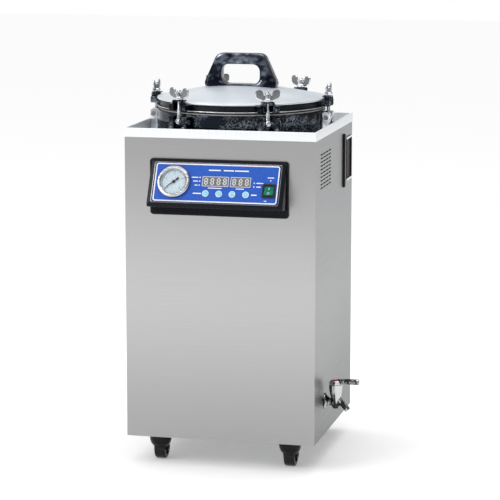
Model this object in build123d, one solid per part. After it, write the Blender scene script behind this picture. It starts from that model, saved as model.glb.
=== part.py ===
from build123d import *
import os
from math import cos, pi, radians, sin, sqrt, tan

# Vertical steam autoclave. Millimetres. +X right, +Y to the rear, +Z up.
# The origin is on the floor, under the axis of the chamber.

# ---------------------------------------------------------------- cabinet
cabinet_w = 410.0
cabinet_d = 400.0
castor_h = 60.0
body_h = 664.0
sheet = 1.2
skirt_h = 21.0
skirt_gap = 0.15
tray_depth = 32.0
tray_rim_w = 4.2
tray_floor_t = 1.5
tray_hole_gap = 3.0
panel_gap = 0.3
pan_t = 3.0
pan_lip_h = 30.0
pan_lip_t = 2.0
post_w = 16.0
post_t = 3.0
shelf_t = 4.0

# ---------------------------------------------------------------- chamber
chamber_r = 159.0
vessel_t = 2.0
chamber_floor_rise = 232.0
collar_over = 23.0
collar_t = 4.0
collar_rise = 27.0
collar_flange_t = 9.0
vessel_dish_h = 52.0
seat_w = 7.0
seat_t = 3.0
jacket_t = 14.0
jacket_gap = 1.0
jacket_top_gap = 52.0

# ---------------------------------------------------------------- lid
seal_h = 3.0
seal_w = 12.0
seal_edge_gap = 4.0
seal_groove_h = 0.8
seal_clearance = 0.1
lid_edge_rise = 25.0
lid_sheet = 2.5
lid_flat_r = 75.0
lid_slope = 0.19
crown_h = 4.0
ring_web_in = 6.0
ring_lip_h = 5.0
ring_over = 5.0
lug_w = 10.0
lug_gap = 28.0
lug_reach = 16.0
lug_h = 19.0
handle_base_half = 80.0
handle_top_half = 52.0
handle_rise = 72.7
handle_depth = 40.0
handle_hole_w = 86.0
handle_hole_h = 42.0
handle_top_bar = 24.0
handle_corner_r = 18.0
handle_hole_r = 15.0
handle_lean = 6.0
handle_foot_h = 12.0

# ---------------------------------------------------------------- clamps
clamp_count = 6
bolt_circle_over = 9.0
pivot_drop = 15.0
bracket_gap = 22.0
ear_t = 15.0
ear_reach = 16.0
ear_top_drop = 4.0
pivot_r = 3.5
pin_clearance = 0.05
eye_r = 7.5
eye_w = 20.0
rod_r = 4.0
rod_rise = 66.0
shoe_half_w = 13.0
shoe_rise = 23.0
shoe_overlap = 2.2
shoe_reach = 8.0
shoe_gap = 2.6
shoe_t = 3.0
nut_r = 9.0
nut_h = 16.0
nut_bore_clearance = 0.06
wing_span = 55.0
wing_t = 3.2
wing_r = 9.5
wing_rise = 16.0

# ---------------------------------------------------------------- console
console_w = 298.0
console_h = 119.0
console_drop = 62.0
console_flange_t = 6.0
console_corner_r = 7.0
console_wall = 2.5
wedge_top_p = 5.0
wedge_tilt = 28.0
wedge_face_len = 93.0
wedge_top_drop = 5.5
wedge_lip_h = 8.4
wedge_w = 290.0
label_w = 266.0
label_h = 85.0
label_t = 0.8
gauge_u = -90.5
gauge_v = 0.5
gauge_r = 35.0
gauge_depth = 30.0
gauge_proud = 8.0
gauge_lip_w = 5.5
lens_t = 1.5
lens_sunk = 1.3
lens_clearance = 0.1
needle_angle = 40.0
key_r = 7.2
key_us = (-20.4, 8.3, 36.6, 65.5)
key_v = -23.0
key_travel = 1.2
key_stem = 1.6
key_proud = 1.5
board_gap = 2.8
board_t = 1.6
key_clearance = 0.3
window_h = 22.0
window_boxes = ((-1.8, 56.5), (51.8, 43.5))
window_v = 4.1
rocker_u = 113.5
rocker_v = -14.0
rocker_w = 28.0
rocker_h = 31.0
rocker_frame_t = 3.2
rocker_swing = 12.0

# ---------------------------------------------------------------- side panels
louvre_rows = 10
louvre_columns = 4
louvre_pitch_y = 28.0
louvre_pitch_z = 7.85
louvre_len = 24.0
louvre_h = 3.0
louvre_front = 106.0
louvre_drop = 88.5
grip_bar_front = 300.5
grip_bar_w = 15.0
grip_bar_h = 119.0
grip_bar_out = 5.0
grip_bar_soft = 3.0
grip_cup_front = 353.5
grip_cup_w = 61.0
grip_cup_h = 97.0
grip_cup_depth = 30.0
grip_frame_w = 5.0
grip_frame_t = 3.0
grip_wall = 2.0
grip_drop = 95.5

# ---------------------------------------------------------------- drain tap
tap_front = 109.0
tap_rise = 73.0
tap_reach = 24.0
tap_pipe_r = 8.0
tap_flange_r = 17.0
tap_flange_t = 5.0
tap_top_r = 14.5
tap_foot_r = 8.0
tap_body_h = 46.0
tap_body_drop = 8.0
tap_stem_r = 4.0
tap_cap_t = 8.0
lever_r = 6.0
lever_reach = 75.0
spout_r = 6.25
spout_bore_r = 4.5
spout_len = 40.0
spout_tilt = 48.0
spout_band_from = 19.0
spout_band_w = 3.0
spout_band_r = 8.4
drain_pipe_r = 6.0

# ---------------------------------------------------------------- castors
castor_side = 62.0
castor_front = 45.0
wheel_r = 25.0
wheel_w = 24.0
wheel_gap = 0.6
wheel_offset = 10.0
axle_r = 3.0
axle_clearance = 0.05
hood_r = 23.8
hood_h = 23.5
hood_skirt_h = 9.0
hood_waist_h = 17.0
hood_waist_in = 4.3
hood_foot_in = 8.3
cheek_t = 3.0
cheek_half = 9.0
axle_cap_r = 4.5
axle_cap_t = 1.5
kingpin_len = 4.0
castor_plate_w = 46.0
castor_plate_t = 3.0
kingpin_r = 5.0
swivel_gap = 0.5

# ---------------------------------------------------------------- inside
heater_r = 5.0
heater_leg_gap = 35.0
heater_rise = 14.0
grid_rise = 38.0
grid_t = 2.0
grid_hole_r = 6.0
grid_hole_step = 30.0
grid_rings = 4
leg_side_gap = 29.0
leg_thick_r = 4.0
basket_side_gap = 11.0
basket_h = 220.0
basket_t = 2.0
basket_foot_gap = 1.5
basket_rows = 4
basket_columns = 12

# ---------------------------------------------------------------- rear
inlet_w = 48.0
inlet_h = 28.0
inlet_rise = 60.0
inlet_side = 80.0
exhaust_x = -120.0
exhaust_rise = 120.0
exhaust_from_rear = 40.0
exhaust_wall = 1.5
exhaust_tail = 22.0
valve_drop = 192.0
valve_r = 11.0
valve_h = 40.0
vent_drop = 120.0
vent_pitch = 12.0
vent_rows = 8
vent_len = 50.0
vent_h = 4.0
vent_step_x = 80.0
exhaust_r = 6.0
screw_r = 2.0
screw_head_r = 4.0
screw_head_h = 2.4
screw_rows = 3

# ---------------------------------------------------------------- worked out
half_w = cabinet_w / 2
half_d = cabinet_d / 2
rim_z = castor_h + body_h
collar_r = chamber_r + collar_over
collar_top_z = rim_z + collar_rise
vessel_floor_z = castor_h + chamber_floor_rise
lid_edge_z = collar_top_z + lid_edge_rise
ring_web_r = collar_r - ring_web_in
ring_inner_r = chamber_r + ring_over
lug_out_r = collar_r + lug_reach
bolt_circle_r = collar_r + bolt_circle_over
pivot_z = collar_top_z - pivot_drop
ear_out_r = collar_r + ear_reach
ear_top_z = collar_top_z - ear_top_drop
rod_top_z = pivot_z + rod_rise
shoe_bottom_z = pivot_z + shoe_rise
shoe_lip_r = collar_r - shoe_overlap
shoe_out_r = bolt_circle_r + shoe_reach
console_bottom_z = rim_z - console_drop - console_h
heater_z = vessel_floor_z + heater_rise
grid_z = vessel_floor_z + grid_rise
basket_r = chamber_r - basket_side_gap
panel_top_z = rim_z - sheet - panel_gap
tray_floor_z = rim_z - tray_depth
jacket_top_z = tray_floor_z - jacket_top_gap
tray_in_x = half_w + skirt_gap + sheet - tray_rim_w
tray_in_y = half_d + skirt_gap + sheet - tray_rim_w
vessel_r = chamber_r + vessel_t
frame_half_w = half_w - sheet - panel_gap
frame_half_d = half_d - sheet - panel_gap
pan_floor_z = castor_h + pan_t
jacket_in_r = vessel_r + jacket_gap
jacket_out_r = jacket_in_r + jacket_t
clamp_angles = [360 / clamp_count * i for i in range(clamp_count)]
shoe_top_z = lid_edge_z + shoe_gap + shoe_t
seal_top_z = collar_top_z + seal_h
crown_z = lid_edge_z + (collar_r - lid_flat_r) * lid_slope
handle_top_z = crown_z + handle_rise
castor_spots = [
    (sx * (half_w - castor_side), sy * (half_d - castor_front)) for sy in (-1, 1) for sx in (-1, 1)
]
louvre_z = rim_z - louvre_drop
grip_z = rim_z - grip_drop
tap_y = -half_d + tap_front
tap_z = castor_h + tap_rise
inlet_x = half_w - inlet_side
inlet_z = castor_h + inlet_rise
exhaust_drop_y = half_d - exhaust_from_rear
exhaust_z = castor_h + exhaust_rise
valve_z = tray_floor_z - valve_drop
leg_r = chamber_r - leg_side_gap
heater_ring_r = leg_r - heater_leg_gap


def block(x0, x1, y0, y1, z0, z1):
    """A box between two corners."""
    return Pos((x0 + x1) / 2, (y0 + y1) / 2, (z0 + z1) / 2) * Box(x1 - x0, y1 - y0, z1 - z0)


def turned(points):
    """A solid turned about Z from (radius, height) points."""
    outline = make_face(Polyline(*[(r, 0, z) for r, z in points], close=True))
    return revolve(outline, Axis.Z)


def disc(r, z0, z1, x=0.0, y=0.0):
    """An upright cylinder from z0 to z1."""
    return Pos(x, y, (z0 + z1) / 2) * Cylinder(r, z1 - z0)


def along_x(r, x0, x1, y, z):
    """A cylinder lying along X."""
    return Pos((x0 + x1) / 2, y, z) * Rot(0, 90, 0) * Cylinder(r, x1 - x0)


def along_y(r, y0, y1, x, z):
    """A cylinder lying along Y."""
    return Pos(x, (y0 + y1) / 2, z) * Rot(90, 0, 0) * Cylinder(r, y1 - y0)


def around(shape, angle):
    """The shape turned about the chamber axis."""
    return Rot(0, 0, angle) * shape


def fused(shapes):
    """One shape from many."""
    shapes = list(shapes)
    return shapes[0] + shapes[1:] if len(shapes) > 1 else shapes[0]


def group(shapes):
    """Separate solids that share one node."""
    solids = [s for shape in shapes for s in shape.solids()]
    return Compound(solids)


# ================================================================ cabinet
def make_base_pan():
    """Floor plate with an upstand all round inside the panels."""
    w = frame_half_w
    d = frame_half_d
    pan = block(-w, w, -d, d, castor_h, pan_floor_z + pan_lip_h)
    pan -= block(-w + pan_lip_t, w - pan_lip_t, -d + pan_lip_t, d - pan_lip_t, pan_floor_z, rim_z)
    tap_hole = along_x(tap_pipe_r + 1, w - 10, w + 10, tap_y, tap_z)
    return pan - tap_hole


def frame_screw_spots():
    """Places of the rear panel's screws, (x, z)."""
    x = half_w - post_w / 2 - sheet
    low = pan_floor_z + pan_lip_h + 25
    high = tray_floor_z - 30
    step = (high - low) / (screw_rows - 1)
    return [(sx * x, low + step * i) for sx in (-1, 1) for i in range(screw_rows)]


def make_inner_frame():
    """Four angle posts, a shelf under the vessel, and the rails that join them."""
    w = frame_half_w - pan_lip_t - panel_gap
    d = frame_half_d - pan_lip_t - panel_gap
    z0 = pan_floor_z
    z1 = tray_floor_z - tray_floor_t - panel_gap
    pieces = []
    for sx in (-1, 1):
        for sy in (-1, 1):
            post = block(0, post_w, 0, post_w, z0, z1) - block(post_t, post_w, post_t, post_w, z0, z1)
            post = Pos(-w, -d, 0) * post
            if sx > 0:
                post = mirror(post, Plane.YZ)
            if sy > 0:
                post = mirror(post, Plane.XZ)
            pieces.append(post)
    shelf_z = vessel_floor_z
    outer = block(-w + post_t, w - post_t, -d + post_t, d - post_t, shelf_z - shelf_t, shelf_z)
    shelf = outer - disc(vessel_r + panel_gap, shelf_z - shelf_t, shelf_z)
    shelf -= disc(exhaust_r + 2, shelf_z - shelf_t, shelf_z, exhaust_x, exhaust_drop_y)
    frame = fused(pieces + [shelf])
    for x, z in frame_screw_spots():
        frame -= along_y(screw_r + panel_gap, half_d - 15, half_d, x, z)
    return frame


def make_front_panel():
    """Plain front sheet with an opening behind the console."""
    z_mid = console_bottom_z + console_h / 2
    panel = block(-half_w, half_w, -half_d, -half_d + sheet, castor_h, panel_top_z)
    window = block(-console_w / 2 + 20, console_w / 2 - 20, -half_d - 1, -half_d + 5, z_mid - 38, z_mid + 38)
    return panel - window


def louvre_slots(x):
    """Slots for one side panel at X = x."""
    slot = SlotOverall(louvre_len, louvre_h)
    slots = []
    for row in range(louvre_rows):
        for column in range(louvre_columns):
            y = -half_d + louvre_front + (column - (louvre_columns - 1) / 2) * louvre_pitch_y
            z = louvre_z - (row - (louvre_rows - 1) / 2) * louvre_pitch_z
            place = Plane(origin=(x, y, z), x_dir=(0, 1, 0), z_dir=(1, 0, 0))
            slots.append(extrude(place * slot, sheet * 2, both=True))
    return slots


def make_side_panel(side):
    """Side sheet with louvres and the opening for the grip cup. side is 1 for right, -1 for left."""
    x0, x1 = sorted((side * (half_w - sheet), side * half_w))
    panel = block(x0, x1, -half_d + sheet, half_d - sheet, castor_h, panel_top_z)
    for slot in louvre_slots(side * half_w):
        panel -= slot
    y = -half_d + grip_cup_front
    w = grip_cup_w / 2 - grip_frame_w + panel_gap
    h = grip_cup_h / 2 - grip_frame_w + panel_gap
    panel -= block(x0 - 1, x1 + 1, y - w, y + w, grip_z - h, grip_z + h)
    if side > 0:
        panel -= along_x(tap_pipe_r + 1, x0 - 1, x1 + 1, tap_y, tap_z)
    return panel


def make_rear_panel():
    """Rear sheet with the mains inlet, exhaust and screw holes, and a field of vents."""
    panel = block(-half_w, half_w, half_d - sheet, half_d, castor_h, panel_top_z)
    w = inlet_w / 2 - 4
    h = inlet_h / 2 - 3
    panel -= block(inlet_x - w, inlet_x + w, half_d - 5, half_d + 5, inlet_z - h, inlet_z + h)
    panel -= along_y(exhaust_r + 1, half_d - 5, half_d + 5, exhaust_x, exhaust_z)
    for x, z in frame_screw_spots():
        panel -= along_y(screw_r + panel_gap, half_d - 5, half_d + 5, x, z)
    slot = SlotOverall(vent_len, vent_h)
    for row in range(vent_rows):
        for column in (-1, 0, 1):
            origin = (column * vent_step_x, half_d, rim_z - vent_drop - row * vent_pitch)
            place = Plane(origin=origin, x_dir=(1, 0, 0), z_dir=(0, 1, 0))
            panel -= extrude(place * slot, sheet * 2, both=True)
    return panel


def make_top_tray():
    """Stainless top: outer skirt, narrow rim, sunken floor with the hole for the collar."""
    out_x = half_w + skirt_gap + sheet
    out_y = half_d + skirt_gap + sheet
    in_x = tray_in_x
    in_y = tray_in_y
    low = tray_floor_z - tray_floor_t
    tray = block(-out_x, out_x, -out_y, out_y, low, rim_z)
    tray -= block(-in_x, in_x, -in_y, in_y, tray_floor_z, rim_z + 1)
    for sign in (-1, 1):
        # the gap between the inner wall and the skirt takes the panels' upper edges
        wall_x0, wall_x1 = sorted((sign * (in_x + sheet), sign * (out_x - sheet)))
        wall_y0, wall_y1 = sorted((sign * (in_y + sheet), sign * (out_y - sheet)))
        tray -= block(wall_x0, wall_x1, -out_y + sheet, out_y - sheet, low - 1, rim_z - sheet)
        tray -= block(-out_x + sheet, out_x - sheet, wall_y0, wall_y1, low - 1, rim_z - sheet)
        skirt_x0, skirt_x1 = sorted((sign * (out_x - sheet), sign * (out_x + 1)))
        skirt_y0, skirt_y1 = sorted((sign * (out_y - sheet), sign * (out_y + 1)))
        tray -= block(skirt_x0, skirt_x1, -out_y - 1, out_y + 1, low - 1, rim_z - skirt_h)
        tray -= block(-out_x - 1, out_x + 1, skirt_y0, skirt_y1, low - 1, rim_z - skirt_h)
    return tray - disc(collar_r + tray_hole_gap, low - 1, rim_z)


def make_panel_screws():
    """Pan-head screws of the rear panel."""
    screws = []
    for x, z in frame_screw_spots():
        shank = along_y(screw_r, half_d - 12, half_d, x, z)
        head = along_y(screw_head_r, half_d, half_d + screw_head_h, x, z)
        head = fillet(head.edges().filter_by(GeomType.CIRCLE).sort_by(Axis.Y)[-1:], 1.2)
        slot = block(x - 3, x + 3, half_d + screw_head_h - 1, half_d + screw_head_h + 1, z - 0.5, z + 0.5)
        screws.append(shank + head - slot)
    return group(screws)


def make_side_grips():
    """Grip bar and cup on each side."""
    pieces = []
    bar_y = -half_d + grip_bar_front
    cup_y = -half_d + grip_cup_front
    w = grip_cup_w / 2
    h = grip_cup_h / 2
    for side in (-1, 1):
        bar = block(half_w, half_w + grip_bar_out, bar_y - grip_bar_w / 2, bar_y + grip_bar_w / 2,
                    grip_z - grip_bar_h / 2, grip_z + grip_bar_h / 2)
        bar = fillet(bar.edges().group_by(Axis.X)[-1], grip_bar_soft)
        frame = block(half_w, half_w + grip_frame_t, cup_y - w, cup_y + w, grip_z - h, grip_z + h)
        iw = w - grip_frame_w
        ih = h - grip_frame_w
        cup = block(half_w - grip_cup_depth, half_w + 1, cup_y - iw, cup_y + iw, grip_z - ih, grip_z + ih)
        hollow = block(half_w - grip_cup_depth + grip_wall, half_w + 10, cup_y - iw + grip_wall,
                       cup_y + iw - grip_wall, grip_z - ih + grip_wall, grip_z + ih - grip_wall)
        shell = frame + cup - hollow
        for piece in (bar, shell):
            pieces.append(piece if side > 0 else mirror(piece, Plane.YZ))
    return group(pieces)


# ================================================================ castors
def castor_hood_points():
    """Bowl of the hood from its rim down, (radius, height)."""
    top = castor_h - castor_plate_t - swivel_gap
    waist = (hood_r - hood_waist_in, top - hood_waist_h)
    foot = (hood_r - hood_foot_in, top - hood_h)
    return [(0, top), (hood_r, top), (hood_r, top - hood_skirt_h), waist, foot, (0, top - hood_h)]


def make_castor_plates():
    """Fixing plates with their kingpins, screwed under the base pan."""
    plates = []
    w = castor_plate_w / 2
    z0 = castor_h - castor_plate_t
    for x, y in castor_spots:
        plate = block(x - w, x + w, y - w, y + w, z0, castor_h)
        plate = fillet(plate.edges().filter_by(Axis.Z), 5)
        pin = disc(kingpin_r, z0 - swivel_gap - kingpin_len, z0, x, y)
        plates.append(plate + pin)
    return group(plates)


def make_castor_fork(x, y):
    """Hood with two cheeks and its axle, turning about the kingpin."""
    slot_half = wheel_w / 2 + wheel_gap
    out_half = slot_half + cheek_t
    top = castor_h - castor_plate_t - swivel_gap
    cheek_y = (wheel_offset - cheek_half, wheel_offset + cheek_half)
    cheeks = block(-out_half, out_half, *cheek_y, wheel_r, top - hood_waist_h)
    cheeks += along_x(cheek_half, -out_half, out_half, wheel_offset, wheel_r)
    body = turned(castor_hood_points()) + cheeks
    body -= along_x(wheel_r + 1.6, -slot_half, slot_half, wheel_offset, wheel_r)
    body -= disc(kingpin_r + pin_clearance, top - kingpin_len - 0.3, top)
    axle = along_x(axle_r, -slot_half, slot_half, wheel_offset, wheel_r)
    caps = along_x(axle_cap_r, out_half, out_half + axle_cap_t, wheel_offset, wheel_r)
    caps += along_x(axle_cap_r, -out_half - axle_cap_t, -out_half, wheel_offset, wheel_r)
    return Pos(x, y, 0) * fused([body, axle, caps])


def make_castor_wheel(x, y):
    """Wheel with a rounded tread and hub recesses."""
    wheel = Rot(0, 90, 0) * Cylinder(wheel_r, wheel_w)
    wheel = fillet(wheel.edges().filter_by(GeomType.CIRCLE), 6)
    for side in (-1, 1):
        recess = Pos(side * wheel_w / 2, 0, 0) * Rot(0, 90, 0) * (Cylinder(16, 5) - Cylinder(7, 5))
        wheel -= recess
    wheel -= Rot(0, 90, 0) * Cylinder(axle_r + axle_clearance, wheel_w + 2)
    return Pos(x, y + wheel_offset, wheel_r) * wheel


# ================================================================ chamber
def make_pressure_vessel():
    """Drawn shell: straight wall with a dished bottom, open at the top."""
    top = collar_top_z - collar_flange_t
    steps = 12
    outer = []
    inner = []
    for i in range(steps + 1):
        a = radians(90 * i / steps)
        outer.append((vessel_r * sin(a), vessel_floor_z - vessel_dish_h * cos(a)))
        inner.append((chamber_r * sin(a), vessel_floor_z - (vessel_dish_h - vessel_t) * cos(a)))
    shell = turned(outer + [(vessel_r, top), (chamber_r, top)] + inner[::-1])
    seat = disc(vessel_r + seat_w, vessel_floor_z, vessel_floor_z + seat_t)
    shell += seat - disc(vessel_r - 0.5, vessel_floor_z, vessel_floor_z + seat_t)
    boss = disc(drain_pipe_r + 3, vessel_floor_z - vessel_dish_h - 10, vessel_floor_z - vessel_dish_h + 1)
    bore = disc(drain_pipe_r - 1.5, vessel_floor_z - vessel_dish_h - 20, vessel_floor_z)
    shell = shell + boss - bore
    for x, y, z in heater_leads():
        shell -= disc(heater_r + 0.2, z - 120, z, x, y)
    return shell


def make_chamber_collar():
    """Flanged collar round the chamber mouth."""
    low = tray_floor_z - 3
    top = collar_top_z
    under = top - collar_flange_t
    collar = turned([(chamber_r, under), (collar_r - collar_t, under), (collar_r - collar_t, low),
                     (collar_r, low), (collar_r, top - 1.5), (collar_r - 1.5, top), (chamber_r, top)])
    return collar


def make_clamp_brackets():
    """A pair of ears on the collar for each clamp, drilled for the pivot pin and a rivet."""
    ears = []
    low = tray_floor_z + 1
    inner = collar_r - 1.0
    half = bracket_gap / 2
    for angle in clamp_angles:
        for side in (-1, 1):
            y0, y1 = sorted((side * half, side * (half + ear_t)))
            ear = block(inner - 4, ear_out_r, y0, y1, low, ear_top_z)
            ear = fillet(ear.edges().filter_by(Axis.Y).sort_by(Axis.X)[-2:], 2.5)
            ear -= disc(collar_r, low - 1, ear_top_z + 1)
            ear -= along_y(pivot_r + pin_clearance, y0 - 1, y1 + 1, bolt_circle_r, pivot_z)
            ears.append(around(ear, angle))
    return group(ears)


def make_pivot_pins():
    """One pin through each pair of ears, with a round head at each end."""
    half = bracket_gap / 2 + ear_t
    pins = []
    for angle in clamp_angles:
        pin = along_y(pivot_r, -half, half, bolt_circle_r, pivot_z)
        for side in (-1, 1):
            y0, y1 = sorted((side * half, side * (half + 1.8)))
            pin += along_y(5.0, y0, y1, bolt_circle_r, pivot_z)
        pins.append(around(pin, angle))
    return group(pins)


def make_insulation_jacket():
    """Wrap of mineral wool round the vessel, above the shelf."""
    low = vessel_floor_z + seat_t + panel_gap
    return disc(jacket_out_r, low, jacket_top_z) - disc(jacket_in_r, low, jacket_top_z)


def heater_leads():
    """Where the heater's two ends pass down through the vessel floor, (x, y, z)."""
    return [(side * 30.0, 0.0, heater_z) for side in (-1, 1)]


def make_heater_element():
    """Round immersion element: an open ring with two legs that go down through the floor."""
    ring = Pos(0, 0, heater_z) * Torus(heater_ring_r, heater_r)
    ring -= block(-30, 30, 0, heater_ring_r + 20, heater_z - 10, heater_z + 10)
    arms = []
    for x, y, z in heater_leads():
        edge = sqrt(heater_ring_r**2 - x**2)
        arms.append(along_y(heater_r, 0, edge, x, heater_z))
        arms.append(Pos(x, y, z) * Sphere(heater_r))
        arms.append(disc(heater_r, z - 78, z, x, y))
    return fused([ring] + arms)


def make_support_grid():
    """Perforated plate, and the three legs that stand it over the heater."""
    plate = disc(chamber_r - 3, grid_z, grid_z + grid_t)
    holes = []
    for ring in range(1, grid_rings + 1):
        for i in range(6 * ring):
            a = 2 * pi * i / (6 * ring)
            r = ring * grid_hole_step
            holes.append(disc(grid_hole_r, grid_z - 1, grid_z + grid_t + 1, r * cos(a), r * sin(a)))
    plate -= holes
    inner_dish_h = vessel_dish_h - vessel_t
    leg_foot = vessel_floor_z - inner_dish_h * sqrt(1 - (leg_r / chamber_r) ** 2) + leg_thick_r
    legs = [around(disc(leg_thick_r, leg_foot, grid_z, leg_r), angle) for angle in (30, 150, 270)]
    return group([plate] + legs)


def make_basket():
    """Loading basket: open drum with a perforated wall and floor, and a bail."""
    z0 = grid_z + grid_t + basket_foot_gap
    z1 = z0 + basket_h
    drum = disc(basket_r, z0, z1) - disc(basket_r - basket_t, z0 + basket_t, z1)
    rim = Pos(0, 0, z1) * (Torus(basket_r - basket_t / 2, 3.0))
    drum = drum + rim
    for row in range(basket_rows):
        z = z0 + 40 + 45 * row
        plane = Plane(origin=(basket_r, 0, z), x_dir=(0, 1, 0), z_dir=(1, 0, 0))
        cutter = extrude(plane * SlotOverall(50, 8), 16, both=True)
        drum -= [around(cutter, 360 / basket_columns * i) for i in range(basket_columns)]
    bail = Pos(0, 0, z1 + 30) * Box(10, 2 * basket_r - 24, 4)
    for side in (-1, 1):
        y = side * (basket_r - 12)
        bail += block(-5, 5, y - 2, y + 2, z1 - 10, z1 + 32)
        y0, y1 = sorted((side * (basket_r - 14), side * (basket_r - 1)))
        bail += block(-5, 5, y0, y1, z1 - 10, z1 - 5)
    return drum + bail


def make_drain_pipe():
    """Pipe from the boss under the vessel to the back of the tap."""
    z_boss = vessel_floor_z - vessel_dish_h - 10
    path = FilletPolyline((0, 0, z_boss), (0, 0, z_boss - 35), (0, tap_y, tap_z),
                          (half_w - sheet - 4, tap_y, tap_z), radius=14)
    outer = sweep(Plane(origin=path @ 0, z_dir=path % 0) * Circle(drain_pipe_r), path=path)
    inner = sweep(Plane(origin=path @ 0, z_dir=path % 0) * Circle(drain_pipe_r - 1.5), path=path)
    return outer - inner


def make_exhaust_valve():
    """Safety valve by the vessel, and the exhaust pipe that leaves through the rear panel."""
    y = exhaust_drop_y
    x = exhaust_x
    valve_x = x - 30
    top = valve_z + valve_h
    body = disc(valve_r, valve_z, top, valve_x, y)
    body += disc(valve_r + 3, valve_z + 15, valve_z + 25, valve_x, y)
    body += disc(valve_r - 4, top, top + 22, valve_x, y)
    path = FilletPolyline(
        (valve_x, y, valve_z), (valve_x, y, valve_z - 30), (x, y, valve_z - 60), (x, y, exhaust_z),
        (x, half_d + exhaust_tail, exhaust_z), radius=12)
    outer = sweep(Plane(origin=path @ 0, z_dir=path % 0) * Circle(exhaust_r), path=path)
    inner = sweep(Plane(origin=path @ 0, z_dir=path % 0) * Circle(exhaust_r - exhaust_wall), path=path)
    nut = along_y(valve_r, half_d, half_d + 6, x, exhaust_z)
    nut -= along_y(exhaust_r - exhaust_wall, half_d - 1, half_d + 10, x, exhaust_z)
    return fused([body, outer, nut]) - inner


# ================================================================ drain tap
def make_tap_body():
    """Tap: wall flange, inlet, faceted body and angled spout."""
    x0 = half_w
    cx = half_w + tap_reach
    z0 = tap_z - tap_body_drop
    z1 = z0 + tap_body_h
    flange = along_x(tap_flange_r, x0, x0 + tap_flange_t, tap_y, tap_z)
    flange = chamfer(flange.edges().filter_by(GeomType.CIRCLE).sort_by(Axis.X)[-1:], 2.0)
    inlet = along_x(tap_pipe_r, x0 - sheet - 3, cx, tap_y, tap_z)
    lower = Plane(origin=(cx, tap_y, z0), z_dir=(0, 0, 1)) * RegularPolygon(tap_foot_r, 8)
    upper = Plane(origin=(cx, tap_y, z1), z_dir=(0, 0, 1)) * RegularPolygon(tap_top_r, 8)
    column = loft([lower.face(), upper.face()])
    foot = Pos(cx, tap_y, z0) * Sphere(tap_foot_r * 0.92)
    a = radians(spout_tilt)
    start = Vector(cx, tap_y, tap_z + 12)
    way = Vector(cos(a), 0, -sin(a))
    spout_plane = Plane(origin=start, z_dir=way)
    spout = extrude(spout_plane * Circle(spout_r), spout_len)
    spout += extrude(spout_plane.offset(spout_band_from) * Circle(spout_band_r), spout_band_w)
    spout_bore = extrude(spout_plane * Circle(spout_bore_r), spout_len + 1)
    water_way = along_x(tap_pipe_r - 3, x0 - 10, cx, tap_y, tap_z)
    stem_bore = disc(tap_stem_r + pin_clearance, z1 - 14, z1 + 1, cx, tap_y)
    body = fused([flange, inlet, column, foot, spout])
    return body - spout_bore - water_way - stem_bore


def make_tap_lever():
    """Cap with its stem and the round lever that points away from the cabinet."""
    cx = half_w + tap_reach
    z1 = tap_z - tap_body_drop + tap_body_h
    gap = 0.3
    cap = disc(tap_top_r + 0.5, z1 + gap, z1 + gap + tap_cap_t, cx, tap_y)
    cap = fillet(cap.edges().filter_by(GeomType.CIRCLE).sort_by(Axis.Z)[-1:], 2.5)
    stem = disc(tap_stem_r, z1 - 13, z1 + gap + 1, cx, tap_y)
    z = z1 + gap + lever_r
    arm = along_x(lever_r, cx + 4, half_w + lever_reach, tap_y, z)
    arm = fillet(arm.edges().filter_by(GeomType.CIRCLE).sort_by(Axis.X)[-1:], 3.0)
    return fused([cap, stem, arm])


# ================================================================ lid
def dome_outline(offset):
    """Upper line of the dished cover from the axis to its edge, lowered by offset, (radius, height)."""
    steps = 8
    points = []
    for i in range(steps + 1):
        r = lid_flat_r * i / steps
        points.append((r, crown_z + crown_h * (1 - (i / steps) ** 2) - offset))
    points.append((collar_r - 4, lid_edge_z + 4 * lid_slope - offset))
    return points


def make_lid_dome():
    """Dished cover, turned down at its edge."""
    top = dome_outline(0)
    under = dome_outline(lid_sheet)
    low = lid_edge_z - lid_sheet - 1
    rim = [(collar_r - 0.8, lid_edge_z - 0.6), (collar_r, lid_edge_z - 1.6)]
    return turned(top + rim + [(collar_r, low), (collar_r - 4, low)] + under[::-1])


def make_lid_ring():
    """Channel ring under the cover, and the pair of lugs welded to it at each clamp."""
    z1 = lid_edge_z - lid_sheet - 1
    z0 = seal_top_z
    lip_z = z0 + ring_lip_h
    ring = turned([(ring_inner_r, z0), (collar_r, z0), (collar_r, lip_z), (ring_web_r, lip_z + 1),
                   (ring_web_r, z1), (ring_inner_r, z1)])
    groove_r = collar_r - seal_edge_gap
    ring -= disc(groove_r, z0, z0 + seal_groove_h) - disc(groove_r - seal_w, z0, z0 + seal_groove_h)
    high = min(lip_z + lug_h, z1)
    lugs = []
    for angle in clamp_angles:
        for side in (-1, 1):
            y0, y1 = sorted((side * lug_gap / 2, side * (lug_gap / 2 + lug_w)))
            lug = block(ring_web_r - 6, lug_out_r, y0, y1, lip_z + 0.5, high)
            lug = fillet(lug.edges().filter_by(Axis.Z).sort_by(Axis.X)[-2:], 1.5)
            lugs.append(around(lug, angle) - ring)
    return group([ring] + lugs)


def make_lid_gasket():
    """Silicone seal in the groove under the ring."""
    low = collar_top_z
    high = seal_top_z + seal_groove_h - seal_clearance
    outer = collar_r - seal_edge_gap - seal_clearance
    inner = collar_r - seal_edge_gap - seal_w + seal_clearance
    return turned([(inner, low), (outer, low), (outer, high), (inner, high)])


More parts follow.
